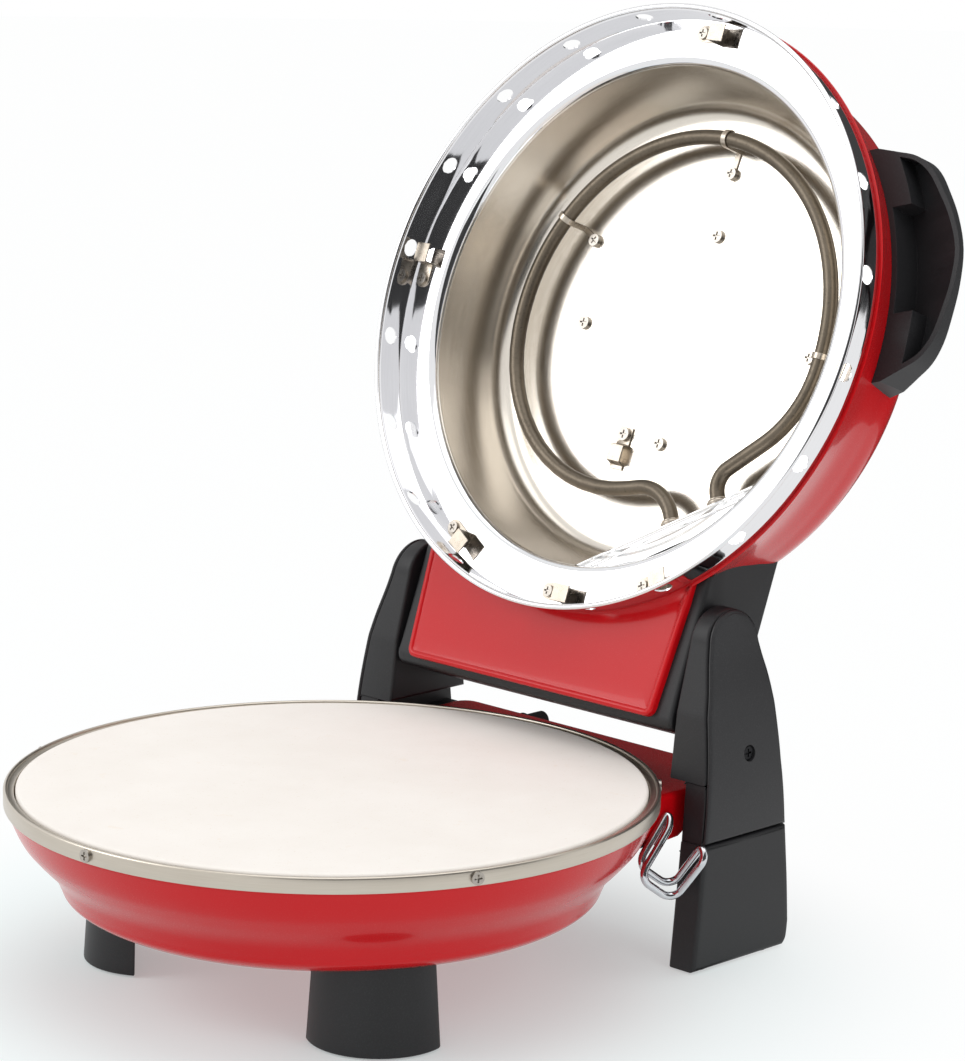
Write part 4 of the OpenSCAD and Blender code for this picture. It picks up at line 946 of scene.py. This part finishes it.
for node, body, slot, paint, width in (
        ("rim_screws", "base", "screw_steel", screw_bright, 0.2),
        ("heat_shield", "base", "reflector_sheet", grey_sheet, 0),
        ("lower_element", "base", "heating_tube", tube_finish, 0),
        ("lower_element_clips", "base", "reflector_sheet", clip_steel, 0.15),
        ("lower_element_ferrules", "base", "white_ceramic", white_ceramic, 0.2),
        ("foot_pads", "base", "black_rubber", black_rubber, 0.4),
        ("foot_screws", "base", "screw_steel", screw_bright, 0.2),
        ("leg_cover_screws", "base", "dark_screw", screw_black, 0.2),
        ("leg_fixing_screws", "base", "screw_steel", screw_bright, 0.2),
        ("leg_pads", "base", "black_rubber", black_rubber, 0.4),
        ("hinge_pin_right", "base", "pin_steel", screw_bright, 0.3),
        ("hinge_pin_left", "base", "pin_steel", screw_bright, 0.3),
        ("hinge_washers", "base", "white_ceramic", pale_plastic, 0.2),
        ("rear_cover", "base", "black_sheet", black_sheet, 0.2),
        ("cord_gland", "base", "black_rubber", black_rubber, 0.3),
        ("terminal_block", "base", "pale_plastic", pale_plastic, 0.4),
        ("thermostat", "base", "pale_plastic", pale_plastic, 0.3),
        ("thermal_fuse", "base", "white_ceramic", white_ceramic, 0.3),
        ("ring_clips", "lid", "bright_chrome", clip_steel, 0.2),
        ("ring_clip_screws", "lid", "screw_steel", screw_bright, 0.2),
        ("element_clips", "lid", "reflector_sheet", clip_steel, 0.2),
        ("plate_screws", "lid", "screw_steel", screw_bright, 0.2),
        ("sensor_clip", "lid", "reflector_sheet", clip_steel, 0.2),
        ("lid_terminal_block", "lid", "pale_plastic", pale_plastic, 0.4),
        ("handle", "lid", "black_plastic", handle_plastic, 0.7),
        ("handle_screws", "lid", "screw_steel", screw_bright, 0.2)):
    eased(node, body, slot, paint, width)


# Floor, world and lights

def floor():
    """Pale floor that glows white: about a third glow near the cooker and nearly all glow farther out. It fades into
    the white background, and the glow is painted light that lightens the shadow round the cooker. Its pale cyan tint
    cancels the red light that the pan throws onto it.
    """
    bpy.ops.mesh.primitive_circle_add(vertices=96, radius=6, fill_type="NGON", location=(0, 0, 0))
    ground = bpy.context.object
    ground.name = "studio_floor"
    p = Paint("studio_floor")
    r, _, _ = p.round()
    # Painted light: the share of white glow, 0.34 within 0.12 m of the axis, rising to 0.97 beyond 0.34 m
    far = r.between(0.12, 0.34, 0.34, 0.97)
    # Painted light: a pale cyan colour instead of white, to cancel the red light bounced from the pan so that the
    # floor's shade reads grey
    p.shade(Base_Color=srgb(222, 242, 242), Roughness=0.6, Specular_IOR_Level=0.1)
    glow = p.tree.nodes.new("ShaderNodeEmission")
    glow.inputs["Color"].default_value = (1, 1, 1, 1)
    mixed = p.tree.nodes.new("ShaderNodeMixShader")
    p.tree.links.new(far.socket, mixed.inputs[0])
    p.tree.links.new(p.shader.outputs[0], mixed.inputs[1])
    p.tree.links.new(glow.outputs[0], mixed.inputs[2])
    p.tree.links.new(mixed.outputs[0], p.tree.nodes["Material Output"].inputs[0])
    ground.data.materials.append(p.material)


def world():
    """White to the camera and in metal and glass. The soft light that it gives is paler above than below."""
    sky = bpy.data.worlds.new("studio")
    bpy.context.scene.world = sky
    sky.use_nodes = True
    sky.cycles.sampling_method = "NONE"
    p = Paint.__new__(Paint)
    p.tree, p.material = sky.node_tree, None
    background = p.tree.nodes["Background"]
    way = p.add("ShaderNodeTexCoord", out="Generated")
    up = p.add("ShaderNodeSeparateXYZ", {}, [way], out="Z")
    soft = p.mix((0.5, 0.5, 0.5), (0.84, 0.84, 0.84), up.between(-0.3, 0.8))
    rays = [p.add("ShaderNodeLightPath", out=f"Is {kind} Ray") for kind in ("Camera", "Glossy", "Transmission")]
    seen = rays[0].math("MAXIMUM", rays[1]).math("MAXIMUM", rays[2])
    p.tree.links.new(p.mix(soft, (1.0, 1.0, 1.0), seen).socket, background.inputs["Color"])


def flag(name, places, level):
    """Dark studio flag that only shows in reflections: a flat sheet between four corners."""
    mesh = bpy.data.meshes.new(name)
    mesh.from_pydata(places, [], [(0, 1, 2, 3)])
    thing = bpy.data.objects.new(name, mesh)
    bpy.context.scene.collection.objects.link(thing)
    p = Paint(name)
    p.shade(Base_Color=(0.0, 0.0, 0.0), Roughness=1.0, Specular_IOR_Level=0.0, Emission_Color=(level,) * 3,
            Emission_Strength=1.0)
    mesh.materials.append(p.material)
    thing.visible_camera = thing.visible_diffuse = thing.visible_transmission = thing.visible_shadow = False


def lamp(name, place, target, size, watts):
    """Softbox of two sides in metres, at a place and aimed at a target."""
    light = bpy.data.lights.new(name, "AREA")
    light.shape, light.size, light.size_y, light.energy = "RECTANGLE", size[0], size[1], watts
    thing = bpy.data.objects.new(name, light)
    bpy.context.scene.collection.objects.link(thing)
    thing.location = place
    thing.rotation_euler = (Vector(target) - Vector(place)).to_track_quat("-Z", "Y").to_euler()
    return thing


floor()
world()
flag("right_flag", [(0.95, -2.5, -0.1), (0.95, 0.55, -0.1), (0.95, 0.55, 1.1), (0.95, -2.5, 1.1)], 0.05)
flag("right_rear_flag", [(0.95, 1.3, -0.1), (0.95, 2.2, -0.1), (0.95, 2.2, 1.1), (0.95, 1.3, 1.1)], 0.05)
flag("rear_flag", [(-1.2, 0.8, 0.0), (0.45, 0.8, 0.0), (0.45, 0.8, 0.75), (-1.2, 0.8, 0.75)], 0.06)
lamp("key_softbox", (-1.3, -1.6, 1.6), (0, 0.05, 0.15), (1.4, 1.1), 12)
lamp("side_softbox", (2.0, -0.2, 0.9), (0, 0.1, 0.2), (0.8, 1.6), 7)
lamp("top_softbox", (0.1, 0.2, 2.0), (0, 0.1, 0.1), (1.8, 1.8), 9)
lamp("panel_softbox", (-0.85, -1.0, 0.75), (0, 0.1, 0.2), (0.7, 0.5), 1.6)
lamp("front_fill", (1.3, -1.9, 0.5), (0, 0.1, 0.15), (1.2, 0.6), 3)

bpy.context.scene.view_settings.view_transform = "Standard"
